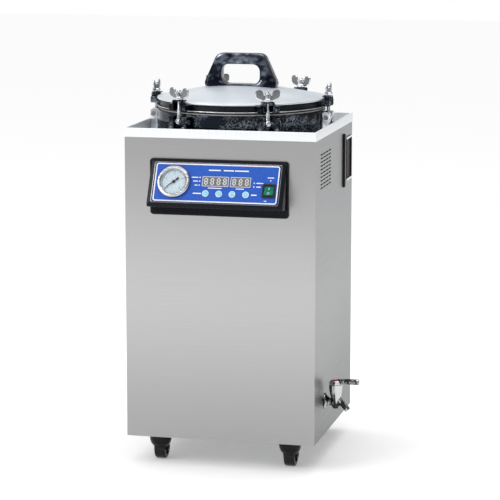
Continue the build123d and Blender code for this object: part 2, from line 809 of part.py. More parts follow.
def make_lid_handle():
    """Moulded carrying handle: tapered block with a finger opening, on a broad foot."""
    low = crown_z - 6
    z_foot = crown_z + handle_foot_h
    top = handle_top_z
    side = make_face(Polyline(
        (-handle_base_half, 0, low), (-handle_base_half, 0, z_foot), (-handle_top_half, 0, top),
        (handle_top_half, 0, top), (handle_base_half, 0, z_foot), (handle_base_half, 0, low), close=True))
    body = extrude(side, handle_depth / 2, both=True)
    body = fillet(body.edges().filter_by(Axis.Y).group_by(Axis.Z)[-1], handle_corner_r)
    hole_z0 = top - handle_top_bar - handle_hole_h
    hole = Pos(0, 0, hole_z0 + handle_hole_h / 2) * Box(handle_hole_w, handle_depth + 2, handle_hole_h)
    hole = fillet(hole.edges().filter_by(Axis.Y), handle_hole_r)
    body -= hole
    for sign in (-1, 1):
        # the flanks lean in towards the top
        slice_box = Box(2 * handle_base_half + 10, 40, 200)
        body -= Pos(0, sign * (handle_depth / 2 + 20), top) * Rot(sign * -handle_lean, 0, 0) * slice_box
    return body - turned(dome_outline(0) + [(collar_r, lid_edge_z - 20), (0, lid_edge_z - 20)])


# ================================================================ clamps
def make_swing_bolt(angle):
    """Eye bolt with its clamp shoe, standing upright at the clamp angle."""
    r = bolt_circle_r
    eye = along_y(eye_r, -eye_w / 2, eye_w / 2, r, pivot_z)
    rod = disc(rod_r, pivot_z, rod_top_z, r, 0)
    bolt = eye + rod
    bolt -= along_y(pivot_r + pin_clearance, -eye_w, eye_w, r, pivot_z)
    shoe = block(shoe_lip_r, shoe_out_r, -shoe_half_w, shoe_half_w, shoe_bottom_z, shoe_top_z)
    shoe -= block(shoe_lip_r - 1, shoe_out_r + 1, -shoe_half_w + 3, shoe_half_w - 3, shoe_bottom_z - 1,
                  shoe_top_z - shoe_t)
    shoe -= disc(rod_r + 0.2, shoe_bottom_z, shoe_top_z + 1, r, 0)
    shoe -= block(shoe_lip_r - 1, collar_r + 2.2, -shoe_half_w - 1, shoe_half_w + 1, shoe_bottom_z - 1,
                  shoe_top_z - shoe_t)
    return around(group([bolt, shoe]), angle)


def make_wing_nut(angle):
    """Wing nut on the bolt, with two upswept rounded wings."""
    r = bolt_circle_r
    z0 = shoe_top_z + 0.2
    barrel = disc(nut_r, z0, z0 + 6, r, 0)
    barrel += disc(nut_r - 2, z0 + 6, z0 + nut_h, r, 0)
    wings = []
    for side in (-1, 1):
        tip_y = side * (wing_span / 2 - wing_r)
        tip = Pos(r, tip_y, z0 + wing_rise) * Rot(0, 90, 0) * Cylinder(wing_r, wing_t)
        arm = make_face(Polyline(
            (r, 0, z0 + 2), (r, side * (nut_r - 1), z0 + 1),
            (r, tip_y + side * wing_r * 0.7, z0 + wing_rise - wing_r * 0.7),
            (r, tip_y - side * wing_r * 0.5, z0 + wing_rise + wing_r * 0.6),
            (r, side * 3, z0 + nut_h - 4), close=True))
        wings += [tip, extrude(arm, wing_t / 2, both=True, dir=(1, 0, 0))]
    nut = fused([barrel] + wings)
    return around(nut - disc(rod_r + nut_bore_clearance, z0 - 1, z0 + 60, r, 0), angle)


# ================================================================ console
face_top = Vector(0, -half_d - wedge_top_p, console_bottom_z + console_h - wedge_top_drop)
slope_down = Vector(0, -sin(radians(wedge_tilt)), -cos(radians(wedge_tilt)))
face_normal = Vector(0, -cos(radians(wedge_tilt)), sin(radians(wedge_tilt)))
face_low = face_top + slope_down * wedge_face_len
face_mid = face_top + slope_down * (wedge_face_len / 2)
face_plane = Plane(origin=face_mid, x_dir=(1, 0, 0), z_dir=face_normal)


def on_face(u, v, w=0.0):
    """Plane on the console face at (u, v), raised by w."""
    return face_plane.offset(w) * Pos(u, v, 0)


def face_plug(sketch, u, v, w0, w1):
    """The sketch raised from the console face between two heights."""
    return extrude(on_face(u, v, w0) * sketch, w1 - w0)


def wedge_profile(inset):
    """Side outline of the wedge, drawn inwards by inset."""
    y0 = -half_d
    top = face_top.Z + 2 - inset
    front_y = face_low.Y + inset
    low = face_low.Z - wedge_lip_h + inset
    shift = inset / cos(radians(wedge_tilt))
    return [(0, y0, top), (0, face_top.Y + 0.5, top), (0, face_top.Y, face_top.Z - shift),
            (0, front_y, face_low.Z - shift), (0, front_y, low), (0, y0, console_bottom_z + 15 + inset)]


def make_console_housing():
    """Black wedge with a broad flange on the front panel; hollow behind."""
    z_mid = console_bottom_z + console_h / 2
    y0 = -half_d
    half = console_w / 2
    flange = block(-half, half, y0 - console_flange_t, y0, console_bottom_z, console_bottom_z + console_h)
    flange = fillet(flange.edges().filter_by(Axis.Y), console_corner_r)
    outer = extrude(make_face(Polyline(*wedge_profile(0), close=True)), wedge_w / 2, both=True, dir=(1, 0, 0))
    inside = make_face(Polyline(*wedge_profile(console_wall), close=True))
    hollow = extrude(inside, wedge_w / 2 - console_wall, both=True, dir=(1, 0, 0))
    back = block(-half + 20, half - 20, y0 - console_flange_t - 1, y0 + 1, z_mid - 38, z_mid + 38)
    housing = flange + outer - hollow - back
    return housing - console_cuts(0.25)


def console_cuts(gap):
    """Everything that passes through the console face, grown by gap."""
    depth = console_wall + 6
    cuts = [face_plug(Circle(gauge_r - 5 + gap), gauge_u, gauge_v, -depth, depth)]
    for u in key_us:
        cuts.append(face_plug(Circle(key_r + key_clearance), u, key_v, -depth, depth))
    for u, w in window_boxes:
        cuts.append(face_plug(Rectangle(w + 2 * gap, window_h + 2 * gap), u, window_v, -depth, depth))
    rocker_hole = Rectangle(rocker_w - 4 + 2 * gap, rocker_h - 4 + 2 * gap)
    cuts.append(face_plug(rocker_hole, rocker_u, rocker_v, -depth, depth))
    return cuts


def make_console_label():
    """Printed sheet on the face, with clearance holes."""
    label = face_plug(RectangleRounded(label_w, label_h, 4), 0, 0, 0, label_t)
    return label - console_cuts(0.25)


def make_gauge_case():
    """Gauge body behind the face and its polished bezel in front."""
    neck = face_plug(Circle(gauge_r - 5), gauge_u, gauge_v, -gauge_depth, label_t)
    bezel = face_plug(Circle(gauge_r), gauge_u, gauge_v, label_t, label_t + gauge_proud)
    rim = bezel.edges().filter_by(GeomType.CIRCLE).sort_by(Axis(face_mid, face_normal))[-1:]
    bezel = fillet(rim, 2.5)
    well = Circle(gauge_r - gauge_lip_w)
    case = neck + bezel - face_plug(well, gauge_u, gauge_v, label_t + 1.5, label_t + gauge_proud + 1)
    hub = face_plug(Circle(1.5), gauge_u, gauge_v, label_t + 1, label_t + 3.4)
    return case + hub


def make_gauge_lens():
    """Flat glass under the bezel's lip."""
    top = label_t + gauge_proud - lens_sunk
    return face_plug(Circle(gauge_r - gauge_lip_w - lens_clearance), gauge_u, gauge_v, top - lens_t, top)


def make_gauge_needle():
    """Tapered pointer with a broad tail, on the hub."""
    w0 = label_t + 3.6
    turn = Rot(0, 0, needle_angle)
    pointer = make_face(Polyline(
        (-24, 0), (-2, -0.9), (7, -0.7), (8, -1.9), (14, -1.9), (14, 1.9), (8, 1.9), (7, 0.7), (-2, 0.9),
        close=True))
    boss = Circle(3.0)
    plane = on_face(gauge_u, gauge_v, w0)
    return extrude(plane * turn * pointer, 0.8) + extrude(plane * boss, 0.8)


def make_key(u):
    """Round key: cap, and the stem that reaches the switch on the board."""
    return face_plug(Circle(key_r), u, key_v, -console_wall - key_stem, label_t + key_proud)


def make_display_windows():
    """Two dark display blocks flush with the label."""
    low = -console_wall - 2
    return group(face_plug(Rectangle(w, window_h), u, window_v, low, label_t + 0.4) for u, w in window_boxes)


def make_rocker_frame():
    """Bezel and body of the rocker switch."""
    top = label_t + rocker_frame_t
    body = face_plug(Rectangle(rocker_w - 4, rocker_h - 4), rocker_u, rocker_v, -14, label_t)
    rim = face_plug(RectangleRounded(rocker_w, rocker_h, 2), rocker_u, rocker_v, label_t, top)
    well = face_plug(Rectangle(rocker_w - 6.4, rocker_h - 6.4), rocker_u, rocker_v, -5, top + 1)
    return body + rim - well


def make_rocker_key():
    """Green rocker, pressed in at its upper half; it tilts about a line at its middle."""
    h = rocker_h / 2 - 5.0
    top = label_t + rocker_frame_t - 0.4
    rise = 2 * h * tan(radians(rocker_swing / 2))
    outline = make_face(Polyline((-h, top + rise), (0, top), (h, top), (h - 2.5, top - 4.8), (0, top - 5.6),
                                 (-h + 2.5, top - 4.8), close=True))
    centre = face_mid + face_plane.x_dir * rocker_u + face_plane.y_dir * rocker_v
    flip = Plane(origin=centre, x_dir=face_plane.y_dir, z_dir=face_plane.y_dir.cross(face_normal))
    return extrude(flip * outline, rocker_w / 2 - 3.7, both=True)


def make_control_board():
    """Circuit board behind the keys and displays, with its transformer."""
    low = -console_wall - key_stem - key_travel - board_gap
    under = low - board_t
    board = face_plug(Rectangle(125, 62), 25, -3, under, low)
    transformer = face_plug(Rectangle(20, 14), 10, 14, under - 6.4, under)
    relay = face_plug(Rectangle(12, 12), 55, 16, under - 4.4, under)
    return fused([board, transformer, relay])


# ================================================================ rear
def make_power_inlet():
    """Mains inlet: flanged socket with three pins."""
    x = inlet_x
    w = inlet_w / 2
    h = inlet_h / 2
    flange = block(x - w, x + w, half_d, half_d + 3, inlet_z - h, inlet_z + h)
    flange = fillet(flange.edges().filter_by(Axis.Y), 4)
    body = block(x - w + 5, x + w - 5, half_d - 20, half_d + 1, inlet_z - h + 4, inlet_z + h - 4)
    socket = block(x - 12, x + 12, half_d - 14, half_d + 4, inlet_z - 8, inlet_z + 8)
    pins = [block(x + dx - 1, x + dx + 1, half_d - 15, half_d - 2, inlet_z + dz - 2.5, inlet_z + dz + 2.5)
            for dx, dz in ((-7, -1), (0, 2), (7, -1))]
    return fused([flange + body - socket] + pins)


# ================================================================ all parts
parts = {
    "base_pan": make_base_pan(),
    "inner_frame": make_inner_frame(),
    "front_panel": make_front_panel(),
    "right_panel": make_side_panel(1),
    "left_panel": make_side_panel(-1),
    "rear_panel": make_rear_panel(),
    "top_tray": make_top_tray(),
    "panel_screws": make_panel_screws(),
    "side_grips": make_side_grips(),
    "castor_plates": make_castor_plates(),
    "pressure_vessel": make_pressure_vessel(),
    "chamber_collar": make_chamber_collar(),
    "clamp_brackets": make_clamp_brackets(),
    "pivot_pins": make_pivot_pins(),
    "insulation_jacket": make_insulation_jacket(),
    "heater_element": make_heater_element(),
    "support_grid": make_support_grid(),
    "basket": make_basket(),
    "drain_pipe": make_drain_pipe(),
    "exhaust_valve": make_exhaust_valve(),
    "tap_body": make_tap_body(),
    "tap_lever": make_tap_lever(),
    "lid_dome": make_lid_dome(),
    "lid_ring": make_lid_ring(),
    "lid_gasket": make_lid_gasket(),
    "lid_handle": make_lid_handle(),
    "console_housing": make_console_housing(),
    "console_label": make_console_label(),
    "gauge_case": make_gauge_case(),
    "gauge_lens": make_gauge_lens(),
    "gauge_needle": make_gauge_needle(),
    "display_windows": make_display_windows(),
    "rocker_frame": make_rocker_frame(),
    "rocker_key": make_rocker_key(),
    "control_board": make_control_board(),
    "power_inlet": make_power_inlet(),
}
for number, u in enumerate(key_us, start=1):
    parts[f"key_{number}"] = make_key(u)
for number, angle in enumerate(clamp_angles, start=1):
    parts[f"swing_bolt_{number}"] = make_swing_bolt(angle)
    parts[f"wing_nut_{number}"] = make_wing_nut(angle)
for number, (x, y) in enumerate(castor_spots, start=1):
    parts[f"castor_fork_{number}"] = make_castor_fork(x, y)
    parts[f"castor_wheel_{number}"] = make_castor_wheel(x, y)

os.makedirs("parts", exist_ok=True)
for name, shape in parts.items():
    export_step(shape, f"parts/{name}.step")
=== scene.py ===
"""Vertical steam autoclave: the visible model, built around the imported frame.

Lengths are metres in the frame's axes: +X right, +Y to the rear, +Z up, with the origin on the floor
under the chamber axis.
"""

import logging
import math
from dataclasses import dataclass
from enum import Enum

import bmesh
import bpy
import numpy as np
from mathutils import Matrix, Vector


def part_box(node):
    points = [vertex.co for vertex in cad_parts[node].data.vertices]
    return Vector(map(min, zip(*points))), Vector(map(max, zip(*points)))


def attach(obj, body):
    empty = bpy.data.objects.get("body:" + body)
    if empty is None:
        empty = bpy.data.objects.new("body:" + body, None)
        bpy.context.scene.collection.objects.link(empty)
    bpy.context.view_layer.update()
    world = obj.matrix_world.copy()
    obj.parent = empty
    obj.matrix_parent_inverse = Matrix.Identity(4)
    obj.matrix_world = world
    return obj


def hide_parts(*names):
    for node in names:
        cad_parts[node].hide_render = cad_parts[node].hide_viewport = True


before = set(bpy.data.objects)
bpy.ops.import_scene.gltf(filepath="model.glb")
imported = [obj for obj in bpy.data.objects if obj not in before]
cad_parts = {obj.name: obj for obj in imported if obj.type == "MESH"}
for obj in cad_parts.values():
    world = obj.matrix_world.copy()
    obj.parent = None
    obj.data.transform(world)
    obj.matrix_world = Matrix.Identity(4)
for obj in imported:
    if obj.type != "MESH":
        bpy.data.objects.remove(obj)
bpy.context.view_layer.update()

LOG = logging.getLogger("autoclave")
Array = np.ndarray
Colour = tuple[float, float, float]
Triple = tuple[float, float, float]
Pair = tuple[float, float]
MM = 0.001
HALF_TURN = math.pi
FULL_TURN = 2 * math.pi
RIGHT, REAR, UP = (1.0, 0.0, 0.0), (0.0, 1.0, 0.0), (0.0, 0.0, 1.0)


# ---------------------------------------------------------------- places and outlines
@dataclass(frozen=True)
class Bench:
    """A local frame that pieces are laid out on: an origin and the ways that u, v and w run."""

    origin: Triple
    across: Triple = RIGHT
    up: Triple = REAR
    out: Triple = UP

    def place(self, u: Array, v: Array, w: Array) -> Array:
        """Lays points out: origin + u across + v up + w out.

        Args:
            u, v, w: coordinates, as arrays that broadcast together.

        Returns:
            Points, with the three coordinates last.
        """
        amounts = np.stack(np.broadcast_arrays(*(np.asarray(amount, float) for amount in (u, v, w))), axis=-1)
        return np.asarray(self.origin, float) + amounts @ np.array([self.across, self.up, self.out], float)

    def moved(self, u: float, v: float, w: float = 0.0) -> "Bench":
        """The same directions at another origin, given in this bench's own coordinates."""
        return Bench(tuple(self.place(u, v, w)), self.across, self.up, self.out)

    def turned(self, angle: float) -> "Bench":
        """The bench with its across and up ways turned about out by an angle in radians."""
        across, up = np.asarray(self.across), np.asarray(self.up)
        cos, sin = math.cos(angle), math.sin(angle)
        return Bench(self.origin, tuple(cos * across + sin * up), tuple(cos * up - sin * across), self.out)

    def flank(self, side: int) -> "Bench":
        """A bench on its side, with v up and w pointing to one side (1) or the other (-1)."""
        return Bench(self.origin, self.across, UP, tuple(side * np.asarray(self.up)))


AXIS = Bench((0.0, 0.0, 0.0))


def mm(*values: float | tuple) -> Array:
    """Numbers or rows of numbers in millimetres, as metres."""
    return np.array(values, float) * MM


def unit(vectors: Array) -> Array:
    """Vectors brought to length one, zero where they have none."""
    length = np.linalg.norm(vectors, axis=-1, keepdims=True)
    return vectors / np.maximum(length, 1e-12)


def softened(corners: list, radius: float | list, steps: int = 4) -> Array:
    """Rounds a polygon's corners.

    Each corner gives way to an arc that touches its two sides: the arc's centre stands on the corner's
    bisector, radius / sin(half the corner) away, and its points are a blend of its two end spokes.

    Args:
        corners: the polygon's corners in order, (u, v).
        radius: one radius, or one for each corner.
        steps: spans in each arc.

    Returns:
        Outline points, (n, 2).
    """
    p = np.asarray(corners, float)
    back, on = np.roll(p, 1, 0) - p, np.roll(p, -1, 0) - p
    reach_max = 0.48 * np.minimum(np.linalg.norm(back, axis=1), np.linalg.norm(on, axis=1))
    back, on = unit(back), unit(on)
    half = np.arccos(np.clip((back * on).sum(1), -1, 1)) / 2
    half = np.clip(half, 1e-3, HALF_TURN / 2 - 1e-3)
    reach = np.minimum(np.broadcast_to(radius, len(p)) / np.tan(half), reach_max)
    true_radius = reach * np.tan(half)
    centre = p + unit(back + on) * (true_radius / np.sin(half))[:, None]
    turn = HALF_TURN - 2 * half
    t = np.linspace(0, 1, steps + 1)[None, :, None]
    spokes = [(p + way * reach[:, None] - centre)[:, None, :] for way in (back, on)]
    turn = turn[:, None, None]
    arc = (spokes[0] * np.sin((1 - t) * turn) + spokes[1] * np.sin(t * turn)) / np.sin(turn)
    return (centre[:, None, :] + arc).reshape(-1, 2)


def shrunk(corners: list, inset: float) -> Array:
    """Moves each side of an anticlockwise polygon inwards: a corner moves along the sum of its normals."""
    p = np.asarray(corners, float)
    side = unit(np.roll(p, -1, 0) - p)
    normal = np.stack([-side[:, 1], side[:, 0]], axis=1)
    before = np.roll(normal, 1, 0)
    return p + inset * (normal + before) / (1 + (normal * before).sum(1, keepdims=True))


def oblong(u_low: float, v_low: float, u_high: float, v_high: float) -> list[Pair]:
    """The corners of a rectangle, anticlockwise from its lowest."""
    return [(u_low, v_low), (u_high, v_low), (u_high, v_high), (u_low, v_high)]


def edge_rows(low: float, high: float, soft_low: float, soft_high: float, steps: int = 3) -> Array:
    """Rows of (inset, height) for a slab whose two edges are quarter rounds.

    Args:
        low, high: heights of the two faces.
        soft_low, soft_high: radii of the two edges.
        steps: spans in each quarter round.

    Returns:
        Rows from the low face to the high one, (n, 2).
    """
    a = np.linspace(0, HALF_TURN / 2, steps + 1)
    foot = np.stack([soft_low * (1 - np.sin(a)), low + soft_low * (1 - np.cos(a))], axis=1)
    head = np.stack([soft_high * (1 - np.cos(a)), high - soft_high * (1 - np.sin(a))], axis=1)
    return np.concatenate([foot, head])


# ---------------------------------------------------------------- grids of points
def slab(bench: Bench, width: float, height: float, corner: float, rows: Array, steps: int = 6) -> Array:
    """Loops of a rounded rectangle, each drawn in by its inset and raised to its height.

    A quarter circle of the corner's radius stands at each corner: u = +-(half width - radius) +
    radius cos a, and the same in v with sin a.

    Args:
        bench: where it stands.
        width, height: full size of the rectangle.
        corner: corner radius.
        rows: (inset, height) of each loop.
        steps: spans in each corner.

    Returns:
        Grid, (rows, points, 3).
    """
    inset, level = np.asarray(rows, float).T
    radius = np.maximum(corner - inset, 0.02 * MM)[:, None]
    angle = (np.arange(4)[:, None] * HALF_TURN / 2 + np.linspace(0, HALF_TURN / 2, steps + 1)).ravel()
    sign_u = np.repeat([1, -1, -1, 1], steps + 1)
    sign_v = np.repeat([1, 1, -1, -1], steps + 1)
    u = sign_u * (width / 2 - inset[:, None] - radius) + radius * np.cos(angle)
    v = sign_v * (height / 2 - inset[:, None] - radius) + radius * np.sin(angle)
    return bench.place(u, v, level[:, None])


def prism(bench: Bench, corners: list, rows: Array, round_: float | list = 0.0, steps: int = 4) -> Array:
    """Loops of an anticlockwise polygon with rounded corners, shrunk and raised row by row."""
    loops = [softened(shrunk(corners, inset), np.maximum(np.asarray(round_) - inset, 0.01 * MM), steps)
             for inset, _ in rows]
    outline = np.stack(loops)
    level = np.asarray(rows, float)[:, 1]
    return bench.place(outline[..., 0], outline[..., 1], level[:, None])


def turned_grid(bench: Bench, profile: Array, segments: int) -> Array:
    """A profile of (radius, height) turned about a bench's out way: a point is (r cos a, r sin a, h).

    Args:
        bench: its origin is on the axis.
        profile: (radius, height) points.
        segments: points round the axis.

    Returns:
        Grid, (profile points, segments, 3).
    """
    p = np.asarray(profile, float)
    a = np.linspace(0, FULL_TURN, segments, endpoint=False)
    return bench.place(p[:, :1] * np.cos(a), p[:, :1] * np.sin(a), p[:, 1:])


def tube(path: Array, radius: float | Array, across: Triple, segments: int = 16) -> Array:
    """A round tube along a flat path.

    Every ring lies square to the path: its two ways are across, which is square to the path's plane,
    and the cross product of the tangent with it.

    Args:
        path: (n, 3) points.
        radius: one radius, or one for each point.
        across: the way square to the path's plane.
        segments: points round the tube.

    Returns:
        Grid, (path points, segments, 3).
    """
    tangent = unit(np.gradient(path, axis=0))
    side = np.broadcast_to(np.asarray(across, float), path.shape)
    other = unit(np.cross(tangent, side))
    a = np.linspace(0, FULL_TURN, segments, endpoint=False)
    r = np.broadcast_to(radius, len(path))[:, None, None]
    return path[:, None] + r * (np.cos(a)[:, None] * side[:, None] + np.sin(a)[:, None] * other[:, None])


class Draft:
    """Gathers grids of points into one mesh."""

    def __init__(self) -> None:
        """Starts empty."""
        self.points: list[Array] = []
        self.faces: list[list[int]] = []
        self.marks: list[int] = []
        self.count = 0

    def skin(self, grid: Array, ring: bool = False, mark: int = 0) -> "Draft":
        """Joins each closed loop of a grid to the next.

        Args:
            grid: (loops, points, 3).
            ring: joins the last loop to the first; without it the two ends are capped.
            mark: number of the finish that the faces take.

        Returns:
            The draft itself.
        """
        loops, n = grid.shape[:2]
        index = self.count + np.arange(loops * n).reshape(loops, n)
        low, high = (index, np.roll(index, -1, axis=0)) if ring else (index[:-1], index[1:])
        quads = np.stack([low, np.roll(low, -1, 1), np.roll(high, -1, 1), high], axis=-1).reshape(-1, 4)
        faces = quads.tolist()
        if not ring:
            ends = ((grid[0], index[0][::-1]), (grid[-1], index[-1]))
            faces += [loop.tolist() for points, loop in ends if np.ptp(points, axis=0).max() > 2e-5]
        self.faces += faces
        self.marks += [mark] * len(faces)
        self.points.append(grid.reshape(-1, 3))
        self.count += loops * n
        return self

    def add(self, points: Array, faces: list[list[int]], mark: int = 0) -> "Draft":
        """Takes loose points and faces, as a converted letter has them."""
        self.faces += [[self.count + i for i in face] for face in faces]
        self.marks += [mark] * len(faces)
        self.points.append(points)
        self.count += len(points)
        return self

    def turn(self, bench: Bench, profile: Array, segments: int, ring: bool = False, mark: int = 0) -> "Draft":
        """Adds a turned profile, as turned_grid and skin make it."""
        return self.skin(turned_grid(bench, profile, segments), ring, mark)

    def plate(self, bench: Bench, size: Pair, corner: float, rows: Array, steps: int = 6,
              ring: bool = False, mark: int = 0) -> "Draft":
        """Adds a rounded rectangle of that width and height, as slab and skin make it."""
        return self.skin(slab(bench, *size, corner, rows, steps), ring, mark)

    def cut(self, bench: Bench, corners: list, rows: Array, round_: float | Array = 0.0, steps: int = 4,
            mark: int = 0) -> "Draft":
        """Adds a polygon with rounded corners, as prism and skin make it."""
        return self.skin(prism(bench, corners, rows, round_, steps), mark=mark)

    def build(self, name: str, finishes: list[bpy.types.Material], sharp: float) -> bpy.types.Object:
        """Makes the object: doubles merged, faces turned outwards, edges over the angle left sharp.

        Args:
            name: the piece's name.
            finishes: materials, in the order of the marks.
            sharp: angle in degrees past which an edge is sharp.

        Returns:
            The object, linked to the scene.
        """
        mesh = bpy.data.meshes.new(name)
        mesh.from_pydata(np.concatenate(self.points).tolist(), [], self.faces)
        mesh.polygons.foreach_set("material_index", self.marks)
        work = bmesh.new()
        work.from_mesh(mesh)
        bmesh.ops.remove_doubles(work, verts=work.verts, dist=0.004 * MM)
        bmesh.ops.recalc_face_normals(work, faces=work.faces)
        work.to_mesh(mesh)
        work.free()
        for finish in finishes:
            mesh.materials.append(finish)
        mesh.shade_smooth()
        mesh.set_sharp_from_angle(angle=math.radians(sharp))
        piece = bpy.data.objects.new(name, mesh)
        bpy.context.scene.collection.objects.link(piece)
        return piece

    def fit(self, name: str, wear: tuple[str, ...], body: str, slot: str, *replaced: str, sharp: float = 32.0
            ) -> None:
        """Builds the piece in those finishes and settles it on its body.

        Args:
            name: the piece's name.
            wear: names of its finishes, in the order of the marks.
            body, replaced: as settle takes them.
            slot: not used.
            sharp: angle in degrees past which an edge is sharp.
        """
        settle(self.build(name, paints(*wear), sharp), body, replaced)


# ---------------------------------------------------------------- finishes
class Wiring:
    """A node tree that grows node by node."""

    def __init__(self, tree: bpy.types.NodeTree) -> None:
        """Takes hold of the tree."""
        self.tree = tree

    def add(self, kind: str, inputs: dict | None = None, **settings: str) -> bpy.types.Node:
        """Adds a node.

        Args:
            kind: the node's type, without its first words, ShaderNode.
            inputs: what each input holds, as feed takes it.
            settings: the node's own choices.

        Returns:
            The node.
        """
        node = self.tree.nodes.new("ShaderNode" + kind)
        for name, choice in settings.items():
            setattr(node, name, choice)
        self.feed(node, inputs or {})
        return node

    def feed(self, node: bpy.types.Node, inputs: dict) -> None:
        """Sets each input to its value, or links it to its socket."""
        for name, value in inputs.items():
            if isinstance(value, bpy.types.NodeSocket):
                self.tree.links.new(value, node.inputs[name])
            else:
                node.inputs[name].default_value = value

    def ramp(self, value: bpy.types.NodeSocket, stops: list[tuple[float, Colour]], ease: bool = False
             ) -> bpy.types.NodeSocket:
        """A colour for each value: (place, colour) stops, joined by straight or eased steps."""
        node = self.add("ValToRGB", {"Fac": value})
        node.color_ramp.interpolation = "EASE" if ease else "LINEAR"
        ends = node.color_ramp.elements
        for number, (at, colour) in enumerate(stops):
            stop = ends[number] if number < 2 else ends.new(at)
            stop.position = at
            stop.color = (*colour, 1.0)
        return node.outputs["Color"]

    def spread(self, value: bpy.types.NodeSocket, low_high: Pair, to: Pair = (0.0, 1.0)
               ) -> bpy.types.NodeSocket:
        """A value's range brought to another."""
        limits = dict(zip(("From Min", "From Max", "To Min", "To Max"), (*low_high, *to)))
        return self.add("MapRange", {"Value": value, **limits}).outputs["Result"]

    def multiplied(self, first: bpy.types.NodeSocket, second: bpy.types.NodeSocket) -> bpy.types.NodeSocket:
        """One colour multiplied by another."""
        inputs = {"Factor": 1.0, "A": first, "B": second}
        return self.add("Mix", inputs, data_type="RGBA", blend_type="MULTIPLY").outputs["Result"]


class Pattern(Enum):
    """How a finish varies over its surface."""

    GRAIN = "even fine grain"
    BRUSHED = "grain drawn out along one way"
    # On polished steel and chrome the bright patches are painted glints and reflections; on zinc and copper
    # they are mottling of the metal.
    BLOTCH = "polished metal with cloudy bright patches"


@dataclass(frozen=True)
class Finish:
    """One surface finish, made of noise in object coordinates."""

    name: str
    dark: Colour
    light: Colour
    rough: Pair = (0.3, 0.45)
    metallic: float = 0.0
    scale: Triple = (400.0, 400.0, 400.0)
    pattern: Pattern = Pattern.GRAIN
    bump: float = 0.1
    depth: float = 0.0001
    coat: float = 0.0
    specular: float = 0.5
    span: Pair = (0.35, 0.65)
    # painted sheen: brightness at the foot, the middle and the top of the height, a painted reflection band
    tone: Triple = (1.0, 1.0, 1.0)
    tone_span: Pair = (0.06, 0.72)
    alpha: float = 1.0
    glow: float = 0.0

    def material(self) -> bpy.types.Material:
        """Builds the node tree.

        Object coordinates, stretched by scale, feed a noise. The noise runs from the dark to the light
        colour, and from the low to the high roughness, and lifts the surface a little. A second, wider
        noise clouds it. The painted sheen, a painted reflection band, brightens and darkens with height.

        Returns:
            The material.
        """
        made = bpy.data.materials.new(self.name)
        made.use_nodes = True
        wiring = Wiring(made.node_tree)
        clouds = self.pattern is Pattern.BLOTCH
        place = wiring.add("TexCoord").outputs["Object"]
        stretched = wiring.add("Mapping", {"Vector": place, "Scale": self.scale}).outputs["Vector"]
        detail = 6.0 if clouds else 3.0
        grain = wiring.add("TexNoise", {"Vector": stretched, "Scale": 1.0, "Detail": detail}).outputs["Fac"]
        value = self._clouded(wiring, place, grain) if clouds else grain
        colour = wiring.ramp(value, list(zip(self.span, (self.dark, self.light))))
        if self.tone != (1.0, 1.0, 1.0):
            colour = self._toned(wiring, place, colour)
        lift = wiring.add("Bump", {"Strength": self.bump, "Distance": self.depth, "Height": grain})
        shader = made.node_tree.nodes["Principled BSDF"]
        wiring.feed(shader, {"Base Color": colour, "Roughness": wiring.spread(value, self.span, self.rough),
                             "Normal": lift.outputs["Normal"], "Metallic": self.metallic,
                             "Specular IOR Level": self.specular, "Alpha": self.alpha,
                             "Coat Weight": self.coat, "Coat Roughness": 0.06})
        if self.glow:
            wiring.feed(shader, {"Emission Color": (*self.light, 1.0), "Emission Strength": self.glow})
        return made

    @staticmethod
    def _clouded(wiring: Wiring, place: bpy.types.NodeSocket, value: bpy.types.NodeSocket
                 ) -> bpy.types.NodeSocket:
        """Multiplies a fine pattern by twice a wider one, so that it comes and goes in patches."""
        wide = wiring.add("TexNoise", {"Vector": place, "Scale": 28.0, "Detail": 2.0}).outputs["Fac"]
        product = wiring.add("Math", {0: value, 1: wide}, operation="MULTIPLY").outputs["Value"]
        return wiring.add("Math", {0: product, 1: 2.0}, operation="MULTIPLY").outputs["Value"]

    def _toned(self, wiring: Wiring, place: bpy.types.NodeSocket, colour: bpy.types.NodeSocket
               ) -> bpy.types.NodeSocket:
        """A painted reflection band: brightness changes slowly with height, set at the foot, the middle and
        the top.
        """
        height = wiring.add("SeparateXYZ", {"Vector": place}).outputs["Z"]
        stops = [(at, (tone,) * 3) for at, tone in zip((0.0, 0.5, 1.0), self.tone)]
        return wiring.multiplied(colour, wiring.ramp(wiring.spread(height, self.tone_span), stops, True))


